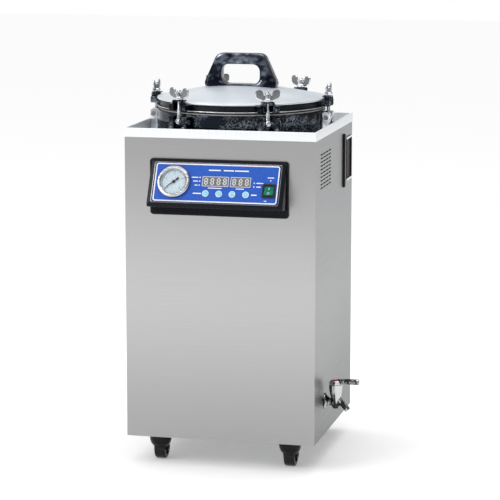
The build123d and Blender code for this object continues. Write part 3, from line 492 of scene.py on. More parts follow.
FINISHES = (
    # Panel steel: brighter at mid height than at the foot and the top, a painted reflection band.
    Finish("panel_steel", (0.485, 0.485, 0.485), (0.515, 0.515, 0.515), (0.32, 0.40), 1.0, (5, 5, 700),
           Pattern.BRUSHED, 0.02, 0.00003, tone=(0.74, 1.03, 0.77)),
    # Side panels: a darker copy of the panel steel, painted shade of the sides, with a painted reflection
    # band that darkens towards the foot.
    Finish("shaded_side_steel", (0.330, 0.335, 0.34), (0.352, 0.357, 0.362), (0.34, 0.42), 1.0, (5, 5, 700),
           Pattern.BRUSHED, 0.02, 0.00003, tone=(0.58, 1.0, 0.96)),
    Finish("tray_sheet", (0.90, 0.93, 0.955), (0.95, 0.97, 0.985), (0.38, 0.48), 0.35, (300, 6, 6),
           Pattern.BRUSHED, 0.02, 0.00003),
    Finish("cover_steel", (0.70, 0.76, 0.81), (0.75, 0.80, 0.84), (0.30, 0.38), 0.40, (14, 14, 14),
           bump=0.01, depth=0.00003),
    # Bright steel: its cloudy bright patches are painted glints on polished steel.
    Finish("bright_steel", (0.50, 0.52, 0.55), (0.86, 0.88, 0.92), (0.06, 0.16), 1.0, (60, 60, 60),
           Pattern.BLOTCH, 0.03, 0.0001),
    # Tap chrome: a dark base with upright bright streaks, painted reflections of chrome.
    Finish("tap_chrome", (0.03, 0.034, 0.032), (0.58, 0.60, 0.58), (0.05, 0.12), 1.0, (150, 150, 9),
           Pattern.BLOTCH, 0.02, 0.0001, span=(0.44, 0.60)),
    Finish("wing_face", (0.16, 0.165, 0.17), (0.34, 0.35, 0.37), (0.35, 0.5), 1.0, (900, 900, 900), bump=0.2),
    # Dark base with bright patches: painted reflections of polished steel, dark surroundings with bright
    # glints.
    Finish("painted_mirror_steel", (0.012, 0.015, 0.022), (0.22, 0.25, 0.29), (0.08, 0.24), 1.0, (260, 260, 260),
           Pattern.BLOTCH, 0.30, 0.0003, span=(0.48, 0.85)),
    Finish("black_channel", (0.006, 0.007, 0.009), (0.02, 0.021, 0.025), (0.25, 0.5), 0.6, (300, 300, 300),
           bump=0.2, specular=0.3),
    # Handle: bright patches on the dark base are painted highlights.
    Finish("handle_chrome", (0.016, 0.020, 0.034), (0.32, 0.36, 0.44), (0.05, 0.14), 1.0, (60, 60, 90),
           Pattern.BLOTCH, 0.08, 0.0004, span=(0.40, 0.85)),
    Finish("seal_silicone", (0.55, 0.55, 0.53), (0.75, 0.75, 0.73), (0.4, 0.6), bump=0.2),
    Finish("housing_black", (0.004, 0.005, 0.008), (0.009, 0.010, 0.015), (0.14, 0.24), bump=0.05,
           specular=0.14),
    # Housing edge: a grey metallic finish on the black housing, a painted highlight along the face's edge.
    Finish("housing_edge_highlight", (0.20, 0.205, 0.22), (0.32, 0.325, 0.34), (0.06, 0.12), 0.9, bump=0.03),
    Finish("label_blue", (0.018, 0.092, 0.47), (0.024, 0.112, 0.54), (0.25, 0.38), bump=0.03, specular=0.2),
    Finish("print_white", (0.80, 0.82, 0.85), (0.92, 0.93, 0.95), (0.4, 0.55)),
    Finish("gauge_steel", (0.36, 0.36, 0.37), (0.72, 0.72, 0.74), (0.1, 0.22), 1.0, (40, 40, 500),
           Pattern.BRUSHED, 0.05),
    Finish("dial_white", (0.54, 0.66, 0.74), (0.62, 0.73, 0.80), (0.5, 0.65), specular=0.2),
    Finish("ink_black", (0.004, 0.004, 0.006), (0.012, 0.012, 0.016), (0.5, 0.7), specular=0.1),
    Finish("ink_red", (0.55, 0.02, 0.03), (0.70, 0.04, 0.05), (0.35, 0.5), specular=0.2),
    Finish("lens_glass", (0.85, 0.9, 0.92), (0.95, 0.97, 1.0), (0.02, 0.05), bump=0.01, alpha=0.03,
           specular=0.3),
    Finish("window_frame", (0.62, 0.63, 0.65), (0.72, 0.73, 0.75), (0.3, 0.45)),
    Finish("window_grey", (0.13, 0.13, 0.135), (0.17, 0.17, 0.175), (0.2, 0.35), specular=0.3),
    Finish("segment_grey", (0.58, 0.58, 0.59), (0.68, 0.68, 0.69), (0.3, 0.45)),
    Finish("key_cyan", (0.20, 0.58, 0.84), (0.34, 0.70, 0.92), (0.3, 0.42), bump=0.05),
    Finish("key_rim", (0.60, 0.74, 0.80), (0.74, 0.84, 0.88), (0.3, 0.45)),
    Finish("key_amber", (0.70, 0.42, 0.06), (0.85, 0.55, 0.12), (0.3, 0.45)),
    Finish("switch_green", (0.001, 0.13, 0.085), (0.002, 0.20, 0.14), (0.15, 0.25), bump=0.05, specular=0.12,
           glow=0.05),
    Finish("frame_brown", (0.014, 0.010, 0.009), (0.04, 0.026, 0.022), (0.3, 0.45), specular=0.3),
    Finish("board_green", (0.005, 0.09, 0.03), (0.02, 0.18, 0.06), (0.35, 0.5)),
    Finish("castor_black", (0.001, 0.001, 0.0015), (0.004, 0.004, 0.005), (0.10, 0.18), bump=0.04,
           specular=0.2),
    Finish("tread_black", (0.003, 0.003, 0.004), (0.009, 0.010, 0.012), (0.12, 0.25), bump=0.08,
           specular=0.25),
    Finish("grip_black", (0.004, 0.004, 0.008), (0.010, 0.010, 0.018), (0.2, 0.3), bump=0.1, specular=0.12),
    Finish("cup_dark", (0.005, 0.0045, 0.004), (0.016, 0.014, 0.012), (0.4, 0.55), bump=0.2, specular=0.15),
    Finish("black_tissue", (0.006, 0.006, 0.006), (0.022, 0.021, 0.020), (0.85, 1.0), scale=(120, 120, 300),
           bump=0.9, depth=0.002, specular=0.1),
    Finish("zinc_frame", (0.20, 0.205, 0.21), (0.32, 0.325, 0.33), (0.35, 0.55), 1.0, (60, 60, 60),
           Pattern.BLOTCH, 0.1),
    Finish("vessel_steel", (0.45, 0.46, 0.47), (0.62, 0.63, 0.64), (0.18, 0.3), 1.0, (8, 8, 600),
           Pattern.BRUSHED, 0.08),
    Finish("copper_pipe", (0.50, 0.24, 0.12), (0.66, 0.36, 0.20), (0.2, 0.4), 1.0, (120, 120, 120),
           Pattern.BLOTCH, 0.1),
)
PAINT: dict[str, bpy.types.Material] = {}


def paints(*names: str) -> list[bpy.types.Material]:
    """The materials of those names."""
    return [PAINT[name] for name in names]


def settle(piece: bpy.types.Object, body: str, replaced: tuple[str, ...]) -> None:
    """Puts a finished piece on its body.

    Args:
        piece: the object, in place.
        body: the body that carries it.
        replaced: frame nodes that the piece stands for.
    """
    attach(piece, body)
    if replaced:
        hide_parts(*replaced)
    LOG.info("%s on %s: %d faces", piece.name, body, len(piece.data.polygons))


def middle(node: str) -> Array:
    """Centre of a node's box."""
    low, high = (np.array(corner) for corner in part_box(node))
    return (low + high) / 2


# ---------------------------------------------------------------- cabinet
@dataclass
class Cabinet:
    """Sheet-steel case: top tray made anew, panels and the inner frame dressed as they are."""

    sheet: float = 1.2 * MM
    rim: float = 4.2 * MM
    hole_radius: float = 185 * MM
    floor_height: float = 692 * MM
    floor_thickness: float = 1.5 * MM
    skirt: float = 19 * MM
    fold: float = 8 * MM
    side_points: int = 26
    wall: float = 205 * MM
    bar_from_middle: float = 100.5 * MM
    bar_width: float = 15 * MM
    bar_proud: float = 5 * MM
    cup_from_middle: float = 153.5 * MM
    cup_size: Pair = (61 * MM, 97 * MM)
    strip_size: Pair = (60 * MM, 4.6 * MM)
    strip_from_middle: float = 46 * MM

    def build(self) -> None:
        """Makes the tray and the grips, and dresses the carried-over sheets."""
        self._tray()
        self._grips()
        self._dress()

    def _square(self, half_x: Array, half_y: Array) -> tuple[Array, Array]:
        """Points along the four sides of rectangles: one coordinate is fixed, the other runs end to end."""
        t = np.linspace(-1, 1, self.side_points, endpoint=False)
        one = np.ones_like(t)
        x = np.concatenate([one, -t, -one, t]) * half_x[:, None]
        y = np.concatenate([t, one, -t, -one]) * half_y[:, None]
        return x, y

    def _tray(self) -> None:
        """Skirt, rim, sunken floor and collar hole, as one folded sheet.

        Its section goes up the skirt, over the rim, down to the floor and in to the round hole, then
        back underneath. Each loop is a rectangle drawn in by an inset, and at the hole a circle.
        """
        _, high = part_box("top_tray")
        top = high.z
        skirt_low = top - self.skirt
        floor = self.floor_height
        under = floor - self.floor_thickness
        turn_in = self.rim + self.fold
        outside = softened([(self.sheet, skirt_low), (0, skirt_low), (0, top), (self.rim, top),
                            (self.rim, floor), (turn_in, floor)], mm(0.1, 0.3, 1.2, 0.8, 1.5, 0.1), 5)
        inside = np.array([(turn_in, under), (self.rim - self.sheet, under),
                           (self.rim - self.sheet, top - self.sheet), (self.sheet, top - self.sheet)])
        grids = []
        for rows in (outside, inside):
            x, y = self._square(high.x - rows[:, 0], high.y - rows[:, 0])
            grids.append(np.stack([x, y, np.broadcast_to(rows[:, 1:], x.shape)], axis=-1))
        t = np.linspace(-1, 1, self.side_points, endpoint=False) * HALF_TURN / 4
        angle = np.concatenate([t + i * HALF_TURN / 2 for i in range(4)])
        circle = [np.stack([self.hole_radius * np.cos(angle), self.hole_radius * np.sin(angle),
                            np.full_like(angle, z)], axis=-1)[None] for z in (floor, under)]
        grid = np.concatenate([grids[0], *circle, grids[1]])
        Draft().skin(grid, ring=True).fit("tray_sheet", ("tray_sheet",), "cabinet", "tray_steel", "top_tray")

    def _grips(self) -> None:
        """On each side a moulded bar, and a framed cup with a strip at its head and foot."""
        draft = Draft()
        low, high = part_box("side_grips")
        height = high.z - low.z
        bar_rows = edge_rows(0, self.bar_proud, 0, 3 * MM, 4)
        cup_rows = mm((0, 0), (0, 2.4), (0.6, 3), (4.4, 3), (5, 2.4), (5.2, -1), (7, -27), (10, -28))
        strip_rows = edge_rows(2.2 * MM, 3.6 * MM, 0, 0.8 * MM)
        for side in (-1, 1):
            wall = Bench((side * self.wall, 0, low.z + height / 2), (0, side, 0), UP, (side, 0, 0))
            bar = wall.moved(side * self.bar_from_middle, 0)
            draft.plate(bar, (self.bar_width, height), 6.5 * MM, bar_rows, 8)
            cup = wall.moved(side * self.cup_from_middle, 0)
            draft.plate(cup, self.cup_size, 5 * MM, cup_rows, mark=1)
            for end in (-1, 1):
                strip = cup.moved(0, end * self.strip_from_middle)
                draft.plate(strip, self.strip_size, 1 * MM, strip_rows, mark=2)
        draft.fit("grip_mouldings", ("grip_black", "cup_dark", "tray_sheet"), "cabinet", "grip_black",
                  "side_grips")

    def _dress(self) -> None:
        """Gives each carried-over node its finish."""
        wear = {
            "panel_steel": ("front_panel", "rear_panel"),
            "shaded_side_steel": ("right_panel", "left_panel"),
            "zinc_frame": ("base_pan", "inner_frame", "castor_plates"),
            "bright_steel": ("panel_screws",),
            "wing_face": ("pivot_pins",),
            "vessel_steel": ("pressure_vessel", "support_grid", "basket", "heater_element"),
            "black_tissue": ("insulation_jacket",),
            "copper_pipe": ("drain_pipe", "exhaust_valve"),
            "board_green": ("control_board",),
            "housing_black": ("power_inlet",),
            "label_blue": ("console_label",),
            "lens_glass": ("gauge_lens",),
        }
        for finish, nodes in wear.items():
            for node in nodes:
                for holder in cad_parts[node].material_slots:
                    holder.material = PAINT[finish]


# ---------------------------------------------------------------- chamber mouth and lid
@dataclass
class Mouth:
    """Flanged collar with its pairs of ears."""

    radius: float = 182 * MM
    bore: float = 159 * MM
    wall: float = 4 * MM
    flange: float = 9 * MM
    ear_out: float = 198 * MM
    ear_sunk: float = 1 * MM
    ear_from: float = 11 * MM
    ear_to: float = 26 * MM
    ear_low: float = 693 * MM
    ear_high: float = 747 * MM
    head_heights: tuple[tuple[float, ...], ...] = ((722 * MM,), (706 * MM, 732 * MM))

    def build(self, clamp_angles: list[float]) -> None:
        """Makes the collar and the ears.

        Args:
            clamp_angles: where the clamps stand, in radians.
        """
        low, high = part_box("chamber_collar")
        under = high.z - self.flange
        inner = self.radius - self.wall
        profile = softened([(self.bore, under), (inner, under), (inner, low.z), (self.radius, low.z),
                            (self.radius, high.z), (self.bore, high.z)], mm(0.5, 3, 0.5, 0.5, 2, 1))
        collar = Draft().turn(AXIS, profile, 144, ring=True)
        collar.fit("mouth_collar", ("painted_mirror_steel",), "cabinet", "dark_steel", "chamber_collar")
        draft = Draft()
        for angle in clamp_angles:
            # Ears at the left and right take the bright finish, a painted reflection; the others take the
            # dark finish.
            painted_bright_side = abs(math.cos(angle)) > 0.9
            self._ears(draft, angle, 1 if painted_bright_side else 0)
        draft.fit("clamp_ears", ("painted_mirror_steel", "bright_steel", "wing_face"), "cabinet", "dark_steel",
                  "clamp_brackets")

    def _ears(self, draft: Draft, angle: float, mark: int) -> None:
        """A pair of drilled blocks with a raised rivet head on each outer face."""
        outline = oblong(self.radius - self.ear_sunk, self.ear_low, self.ear_out, self.ear_high)
        rows = edge_rows(self.ear_from, self.ear_to, 0.8 * MM, 1.4 * MM)
        base = AXIS.turned(angle)
        for side in (-1, 1):
            draft.cut(base.flank(side), outline, rows, 3 * MM, mark=mark)
            ear_middle = tuple(base.place(self.ear_out, side * (self.ear_from + self.ear_to) / 2, 0.0))
            face = Bench(ear_middle, tuple(side * np.asarray(base.up)), UP, base.across)
            for z in self.head_heights[mark]:
                head = face.moved(0, z, -0.3 * MM)
                dome = edge_rows(0, 2.6 * MM, 0, 2.2 * MM, 4)
                profile = np.stack([4.4 * MM - dome[:, 0], dome[:, 1]], axis=1)
                draft.turn(head, np.vstack([profile, (0, 2.6 * MM)]), 20, mark=2 - mark)


@dataclass
class Lid:
    """Dished cover, channel ring with lugs, seal and carrying handle."""

    radius: float = 182 * MM
    flat_radius: float = 75 * MM
    slope: float = 0.19
    crown: float = 4 * MM
    sheet: float = 2.5 * MM
    web_radius: float = 176 * MM
    ring_inner: float = 164 * MM
    lip_height: float = 5 * MM
    seal_width: float = 12 * MM
    lug_from: float = 14 * MM
    lug_to: float = 24 * MM
    lug_out: float = 198 * MM

    def build(self, clamp_angles: list[float]) -> None:
        """Makes the four pieces of the lid.

        Args:
            clamp_angles: where the clamps stand, in radians.
        """
        self._cover()
        self._ring(clamp_angles)
        self._seal()
        self._handle()

    def _rise(self, r: Array, edge: float) -> Array:
        """Height of the cover's upper face: a straight slope, then a flat parabola over the crown."""
        top = edge + (self.radius - self.flat_radius) * self.slope
        crown = top + self.crown * (1 - (r / self.flat_radius) ** 2)
        return np.where(r > self.flat_radius, edge + (self.radius - r) * self.slope, crown)

    def _cover(self) -> None:
        """Turns the cover's section: centre to brim above, a rolled bead, and back below."""
        low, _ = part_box("lid_dome")
        edge = low.z + self.sheet + 1 * MM
        brim_in, bend = self.radius - 9 * MM, self.radius - 6 * MM
        r = np.append(np.linspace(0, self.flat_radius, 12), np.linspace(self.flat_radius, brim_in, 14)[1:])
        above = np.stack([r, self._rise(r, edge)], axis=1)
        brim = softened([(brim_in, above[-1, 1]), (bend, edge + 0.6 * MM), (self.radius, edge + 0.4 * MM),
                         (self.radius, low.z), (bend, low.z)], mm(0.1, 3, 1.5, 1.0, 0.1), 5)
        below = np.stack([r[::-1], np.maximum(self._rise(r, edge)[::-1] - self.sheet, low.z)], axis=1)
        profile = np.vstack([above, brim, below])
        cover = Draft().turn(AXIS, profile, 160)
        cover.fit("lid_cover", ("cover_steel",), "lid", "dome_steel", "lid_dome")

    def _ring(self, clamp_angles: list[float]) -> None:
        """Turns the channel ring, and sets a pair of lugs on it at each clamp."""
        low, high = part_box("lid_ring")
        lip = low.z + self.lip_height
        section = softened([(self.ring_inner, low.z), (self.radius, low.z), (self.radius, lip),
                            (self.web_radius, lip + 1 * MM), (self.web_radius, high.z),
                            (self.ring_inner, high.z)], mm(0.5, 1.5, 2, 1.5, 0.3, 0.3))
        draft = Draft().turn(AXIS, section, 144, ring=True)
        bead = softened(mm((-2, -1.2), (0.4, -1.6), (0.3, 0.3), (-2, 0.5)) + (self.radius, lip), 0.7 * MM)
        draft.turn(AXIS, bead, 144, ring=True, mark=1)
        outline = oblong(self.web_radius - 4 * MM, lip + 0.5 * MM, self.lug_out, high.z)
        rows = edge_rows(self.lug_from, self.lug_to, 1 * MM, 1 * MM)
        for angle in clamp_angles:
            for side in (-1, 1):
                draft.cut(AXIS.turned(angle).flank(side), outline, rows, 1.2 * MM, mark=2)
        draft.fit("lid_channel", ("black_channel", "bright_steel", "painted_mirror_steel"), "lid", "dark_steel",
                  "lid_ring")

    def _seal(self) -> None:
        """A seal with a rounded outer bead."""
        low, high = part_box("lid_gasket")
        section = softened(oblong(high.x - self.seal_width, low.z, high.x, high.z), 1.2 * MM)
        seal = Draft().turn(AXIS, section, 128, ring=True)
        seal.fit("lid_seal", ("seal_silicone",), "lid", "rubber_seal", "lid_gasket")

    def _handle(self) -> None:
        """Carrying handle: a rounded bar that closes on itself round the finger opening.

        Each ray from the opening's centre meets an inner rounded outline and an outer tapered one. The
        bar's section between the two is a superellipse, |x|^p + |y|^p = 1, whose depth grows to the foot.
        """
        low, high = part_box("lid_handle")
        foot, waist, top = (80 * MM, low.z + 2 * MM), (79 * MM, 808 * MM), (52 * MM, high.z)
        hole_low, hole_high, hole_half = 803 * MM, 845 * MM, 42 * MM
        left = [(-half, height) for half, height in (top, waist, foot)]
        outer = softened([foot, waist, top, *left], mm(4, 9, 18, 18, 9, 4), 8)
        inner = softened(oblong(-hole_half, hole_low, hole_half, hole_high), 15 * MM, 8)
        centre = np.array([0, (hole_low + hole_high) / 2])
        angle = np.linspace(-HALF_TURN, HALF_TURN, 96, endpoint=False)
        outer, inner = (self._by_angle(loop, centre, angle) for loop in (outer, inner))
        s = np.linspace(0, FULL_TURN, 28, endpoint=False)[:, None]
        power = 0.36
        swing, depth = (np.sign(wave) * np.abs(wave) ** power for wave in (np.cos(s), np.sin(s)))
        section = (inner + outer) / 2 + swing[..., None] * (outer - inner) / 2
        down = np.clip((high.z - section[..., 1]) / (high.z - low.z), 0, 1)
        half_depth = 14 * MM + 4.5 * MM * down + 4 * MM * down ** 5
        grid = np.stack([section[..., 0], depth * half_depth, section[..., 1]], axis=-1)
        handle = Draft().skin(grid, ring=True)
        handle.fit("lid_grab", ("handle_chrome",), "lid", "handle_black", "lid_handle", sharp=60)

    @staticmethod
    def _by_angle(loop: Array, centre: Array, angle: Array) -> Array:
        """Points of a loop seen from a centre at even angles, by interpolation on angle."""
        way = loop - centre
        seen = np.arctan2(way[:, 1], way[:, 0])
        order = np.argsort(seen)
        found = [np.interp(angle, seen[order], loop[order, k], period=FULL_TURN) for k in (0, 1)]
        return np.stack(found, axis=-1)


@dataclass
class Clamp:
    """One swing bolt with its shoe and wing nut."""

    number: int
    bolt_circle: float = 191 * MM
    rod: float = 4 * MM
    eye: float = 7.5 * MM
    eye_half: float = 6 * MM
    shoe_half: float = 13 * MM
    shoe_low: float = 759 * MM
    shoe_high: float = 781.6 * MM
    shoe_inner: float = 179.8 * MM
    shoe_outer: float = 199 * MM
    cheek_inner: float = 184.4 * MM
    plate: float = 3 * MM

    def angle(self) -> float:
        """Where the clamp stands, in radians."""
        place = middle(f"swing_bolt_{self.number}")
        return math.atan2(place[1], place[0])

    def build(self) -> None:
        """Makes the bolt with its shoe, and the nut."""
        self._bolt()
        self._nut()

    def _bolt(self) -> None:
        """Threaded rod with a drop-shaped eye, and the shoe that grips the cover's edge."""
        low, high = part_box(f"swing_bolt_{self.number}")
        pivot = low.z + self.eye
        base = AXIS.turned(self.angle())
        stem = base.moved(self.bolt_circle, 0, pivot)
        reach = high.z - pivot
        z = np.linspace(0.42, 0.97, 90) * reach
        thread = self.rod - 0.18 * MM * (1 + np.cos(FULL_TURN * z / (1.25 * MM)))
        foot = mm((0, 0), (6.2, 0), (6.0, 4), (4.9, 9), (self.rod / MM, 13))
        profile = np.vstack([foot, np.stack([thread, z], axis=1), [(self.rod - 1 * MM, reach), (0, reach)]])
        draft = Draft().turn(stem, profile, 20)
        lying = stem.flank(-1)
        half = self.eye_half
        round_ = edge_rows(-half, half, 4 * MM, 4 * MM, 6)
        eye = np.vstack([(0, -half), np.stack([self.eye - round_[:, 0], round_[:, 1]], axis=1), (0, half)])
        draft.turn(lying, eye, 28)
        top = self.shoe_high
        plan = oblong(self.shoe_inner, -self.shoe_half, self.shoe_outer, self.shoe_half)
        draft.cut(base, plan, edge_rows(top - self.plate, top, 0.4 * MM, 0.9 * MM), 3 * MM, mark=1)
        cheek = oblong(self.cheek_inner, self.shoe_low, self.shoe_outer, top - 0.6 * MM)
        rows = edge_rows(10 * MM, 12.9 * MM, 0.5 * MM, 0.8 * MM)
        for side in (-1, 1):
            draft.cut(base.flank(side), cheek, rows, 3 * MM, mark=1)
        body = f"swing_bolt_{self.number}"
        draft.fit(f"clamp_bolt_{self.number}", ("bright_steel", "painted_mirror_steel"), body, "polished_steel", body)

    def _nut(self) -> None:
        """Barrel with a collar, and two upswept wings with sunk faces."""
        low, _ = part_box(f"wing_nut_{self.number}")
        base = AXIS.turned(self.angle()).moved(self.bolt_circle, 0, low.z)
        barrel = softened(mm((4.06, 0), (9, 0), (9, 5), (7, 7), (6.4, 17), (4.06, 17)),
                          mm(0.3, 1, 1.2, 1.5, 1.4, 0.5))
        draft = Draft().turn(base, barrel, 36, ring=True)
        outline = mm((4.6, 3), (12, 2), (27.5, 8), (27.5, 25.3),
                   (12.5, 25.3), (8.6, 13), (4.6, 12.5))
        corner = mm(0.5, 4, 9, 8, 7, 3, 0.5)
        soft = mm((0.7, -1.6), (0.2, -1.3), (0, -0.8), (0, 0.8), (0.2, 1.3), (0.7, 1.6))
        face_rows = mm((1.7, 1.2), (1.7, 1.62), (1.9, 1.66))
        for side in (-1, 1):
            sideways = tuple(side * np.asarray(base.up))
            bench = Bench(base.origin, sideways, UP, tuple(np.cross(sideways, UP)))
            draft.cut(bench, outline, soft, corner, 6)
            for face in (-1, 1):
                leaf = Bench(base.origin, sideways, UP, tuple(face * np.asarray(base.across)))
                draft.cut(leaf, outline, face_rows, corner, 6, mark=1)
        body = f"wing_nut_{self.number}"
        draft.fit(f"clamp_nut_{self.number}", ("bright_steel", "wing_face"), body, "polished_steel", body)


# ---------------------------------------------------------------- console
@dataclass
class Console:
    """Wedge-shaped control console with its label, gauge, displays, keys and rocker."""

    tilt: float = 28.0
    label_size: Pair = (266 * MM, 85 * MM)
    label_top: float = 0.8 * MM
    frame_size: Pair = (274 * MM, 90.4 * MM)
    face_half: float = 46.5 * MM
    wedge_half: float = 145 * MM
    chin: float = 17 * MM
    brow: float = 2 * MM
    gauge_radius: float = 35 * MM
    key_radius: float = 7.2 * MM
    window_height: float = 22 * MM
    window_up: float = 4.1 * MM

    def __post_init__(self) -> None:
        """Finds the face's bench from the label's box."""
        tilt = math.radians(self.tilt)
        up = (0.0, math.sin(tilt), math.cos(tilt))
        out = (0.0, -math.cos(tilt), math.sin(tilt))
        centre = middle("console_label") - np.asarray(out) * self.label_top / 2
        self.face = Bench(tuple(centre), (1.0, 0.0, 0.0), up, out)

    def spot(self, node: str) -> tuple[float, float]:
        """A node's centre on the face, (u, v)."""
        away = middle(node) - np.asarray(self.face.origin)
        return float(away @ np.asarray(self.face.across)), float(away @ np.asarray(self.face.up))

    def build(self) -> None:
        """Makes every piece of the console."""
        self._housing()
        self._marks()
        self._gauge()
        self._needle()
        self._windows()
        for number in (1, 2, 3, 4):
            self._key(number)
        self._rocker()

    def _housing(self) -> None:
        """Flange with a rolled edge, and the wedge: its side outline carried across, ends rounded."""
        low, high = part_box("console_housing")
        wall = high.y
        centre = ((low.x + high.x) / 2, wall, (low.z + high.z) / 2)
        back = Bench(centre, RIGHT, UP, (0, -1, 0))
        draft = Draft()
        flange = np.vstack([edge_rows(0, 6 * MM, 0, 2.2 * MM), mm((6, 5.0))])
        draft.plate(back, (high.x - low.x, high.z - low.z), 7 * MM, flange, 8)
        side = Bench((0, 0, 0), REAR, UP, RIGHT)
        top = self.face.place(0, self.face_half, 0)
        foot = self.face.place(0, -self.face_half, 0)
        brow = top[2] + self.brow
        outline = [(wall, foot[2] - self.chin), (wall, brow), (top[1] + 0.5 * MM, brow),
                   (top[1], top[2]), (foot[1], foot[2]), (foot[1], foot[2] - 8.4 * MM)][::-1]
        corner = mm(1.5, 2.5, 1.0, 1.0, 0.5, 0.5)
        rows = edge_rows(-self.wedge_half, self.wedge_half, 2.5 * MM, 2.5 * MM, 4)
        draft.cut(side, self._anticlockwise(outline), rows, corner[::-1], 5)
        # Rim round the face: its finish is a painted highlight along the edge.
        rim = mm((0, -0.5), (0, 0.5), (0.5, 0.9), (1.6, 0.9), (2.1, 0.4),
                        (2.1, -0.5))
        draft.plate(self.face, self.frame_size, 5 * MM, rim, 8, ring=True, mark=1)
        draft.fit("console_shell", ("housing_black", "housing_edge_highlight"), "cabinet", "console_black",
                  "console_housing", sharp=40)

    @staticmethod
    def _anticlockwise(outline: list) -> list:
        """The outline in anticlockwise order, by the sign of its area."""
        p = np.asarray(outline)
        area = (p[:, 0] * np.roll(p[:, 1], -1) - np.roll(p[:, 0], -1) * p[:, 1]).sum()
        return outline if area > 0 else outline[::-1]

    def _marks(self) -> None:
        """White border line, generic bars where legends stand, and small lamps."""
        draft = Draft()
        print_rows = self.label_top + mm(-0.2, 0.06)
        border = np.array([(0.4 * MM, print_rows[0]), (0.4 * MM, print_rows[1]), (2.9 * MM, print_rows[1]),
                           (2.9 * MM, print_rows[0])])
        draft.plate(self.face, self.label_size, 6 * MM, border, 8, ring=True)
        bars = ((-6, 28.9, 26, 2.6), (24, 28.9, 22, 2.6), (52, 28.9, 30, 2.6),
                (-46.5, 12.3, 15, 2.0), (-44.5, 4.0, 11, 2.0), (-42.5, -4.9, 7, 2.0),
                (93, 3.3, 15, 2.0), (91, -5.0, 10, 2.0), (115, 16, 14, 2.0),
                (-1.8, -10.6, 30, 1.8), (51.8, -10.6, 18, 1.8), (-38.5, -23, 18, 2.4), (83, -23, 12, 2.4),
                (108, -35.2, 6, 1.8))
        for u, v, width, height in bars:
            spot = self.face.moved(u * MM, v * MM)
            rows = np.array([(0, print_rows[0]), (0, print_rows[1])])
            draft.plate(spot, (width * MM, height * MM), 0.9 * MM, rows, 3)
        lamps = ((-35.5, 12.3), (-35.5, 4.0), (-35.5, -4.9), (81, 3.3), (81, -5.0), (115.4, 9.7))
        for u, v in lamps:
            spot = self.face.moved(u * MM, v * MM)
            dome = mm((1.5, -0.2), (1.5, 0.3), (1.1, 0.7), (0.0, 0.85)) + (0, self.label_top)
            draft.turn(spot, dome, 14)
        draft.fit("label_print", ("print_white",), "cabinet", "label_blue")

    def _gauge(self) -> None:
        """Polished bezel with a stepped lip, and the dial with ticks, numbers and a red arc."""
        u, v = self.spot("gauge_lens")
        bench = self.face.moved(u, v, self.label_top)
        r = self.gauge_radius
        bezel = softened([(r - 7.4 * MM, -0.2 * MM), (r, -0.2 * MM), (r, 5.5 * MM), (r - 2 * MM, 8 * MM),
                          (r - 5.4 * MM, 8 * MM), (r - 7.4 * MM, 6.2 * MM)],
                         mm(0.2, 0.4, 1.5, 1.5, 0.6, 0.4))
        draft = Draft().turn(bench, bezel, 96, ring=True)
        dial = np.array([(r - 7 * MM, -0.2 * MM), (r - 7 * MM, 1.5 * MM), (0, 1.5 * MM)])
        draft.turn(bench, dial, 64, mark=1)
        low, high = math.radians(225), math.radians(-45)
        flat = mm((0, 1.4), (0, 1.62))
        for number in range(41):
            angle = low + (high - low) * number / 40
            long = number % 10 == 0
            length = 4.4 * MM if long else 2.4 * MM
            spot = bench.turned(angle).moved(r - 9.4 * MM - length / 2, 0)
            draft.plate(spot, (length, (1.0 if long else 0.45) * MM), 0.1 * MM, flat, 1, mark=2)
        arc = np.linspace(math.radians(30), math.radians(-45), 30)
        self._band(draft, bench, arc, (r - 9.3 * MM, r - 8.1 * MM), 3)
        self._band(draft, bench, np.linspace(low, high, 90), (r - 9.6 * MM, r - 9.2 * MM), 2)
        for number in range(5):
            angle = low + (high - low) * number / 4
            at = (math.cos(angle) * (r - 17 * MM), math.sin(angle) * (r - 17 * MM))
            self._figure(draft, bench, str(number), at, 5.2 * MM)
        draft.turn(bench, mm((3.4, 1.4), (3.4, 3.0), (2.6, 3.4), (0, 3.4)), 28, mark=2)
        draft.fit("gauge_face", ("gauge_steel", "dial_white", "ink_black", "ink_red"), "cabinet",
                  "gauge_steel", "gauge_case")

    @staticmethod
    def _band(draft: Draft, bench: Bench, arc: Array, radii: Pair, mark: int) -> None:
        """A thin printed band along an arc: its four edges are loops joined in a ring."""
        levels = (1.42 * MM, 1.6 * MM)
        ends = [(radii[0], levels[0]), (radii[1], levels[0]), (radii[1], levels[1]), (radii[0], levels[1])]
        loops = [bench.place(r * np.cos(arc), r * np.sin(arc), h) for r, h in ends]
        draft.skin(np.stack(loops, axis=1), mark=mark)

    @staticmethod
    def _figure(draft: Draft, bench: Bench, text: str, at: Pair, height: float) -> None:
        """A dial number: an outline letter made a mesh, centred, and laid on the bench."""
        curve = bpy.data.curves.new("figure", "FONT")
        curve.body = text
        curve.size = height
        curve.extrude = 0.06 * MM
        curve.align_x, curve.align_y = "CENTER", "CENTER"
        holder = bpy.data.objects.new("figure", curve)
        mesh = bpy.data.meshes.new_from_object(holder)
        points = np.zeros(len(mesh.vertices) * 3)
        mesh.vertices.foreach_get("co", points)
        points = points.reshape(-1, 3)
        laid = bench.place(points[:, 0] + at[0], points[:, 1] + at[1], points[:, 2] + 1.56 * MM)
        draft.add(laid, [list(face.vertices) for face in mesh.polygons], 2)
        bpy.data.objects.remove(holder)
        bpy.data.curves.remove(curve)
        bpy.data.meshes.remove(mesh)

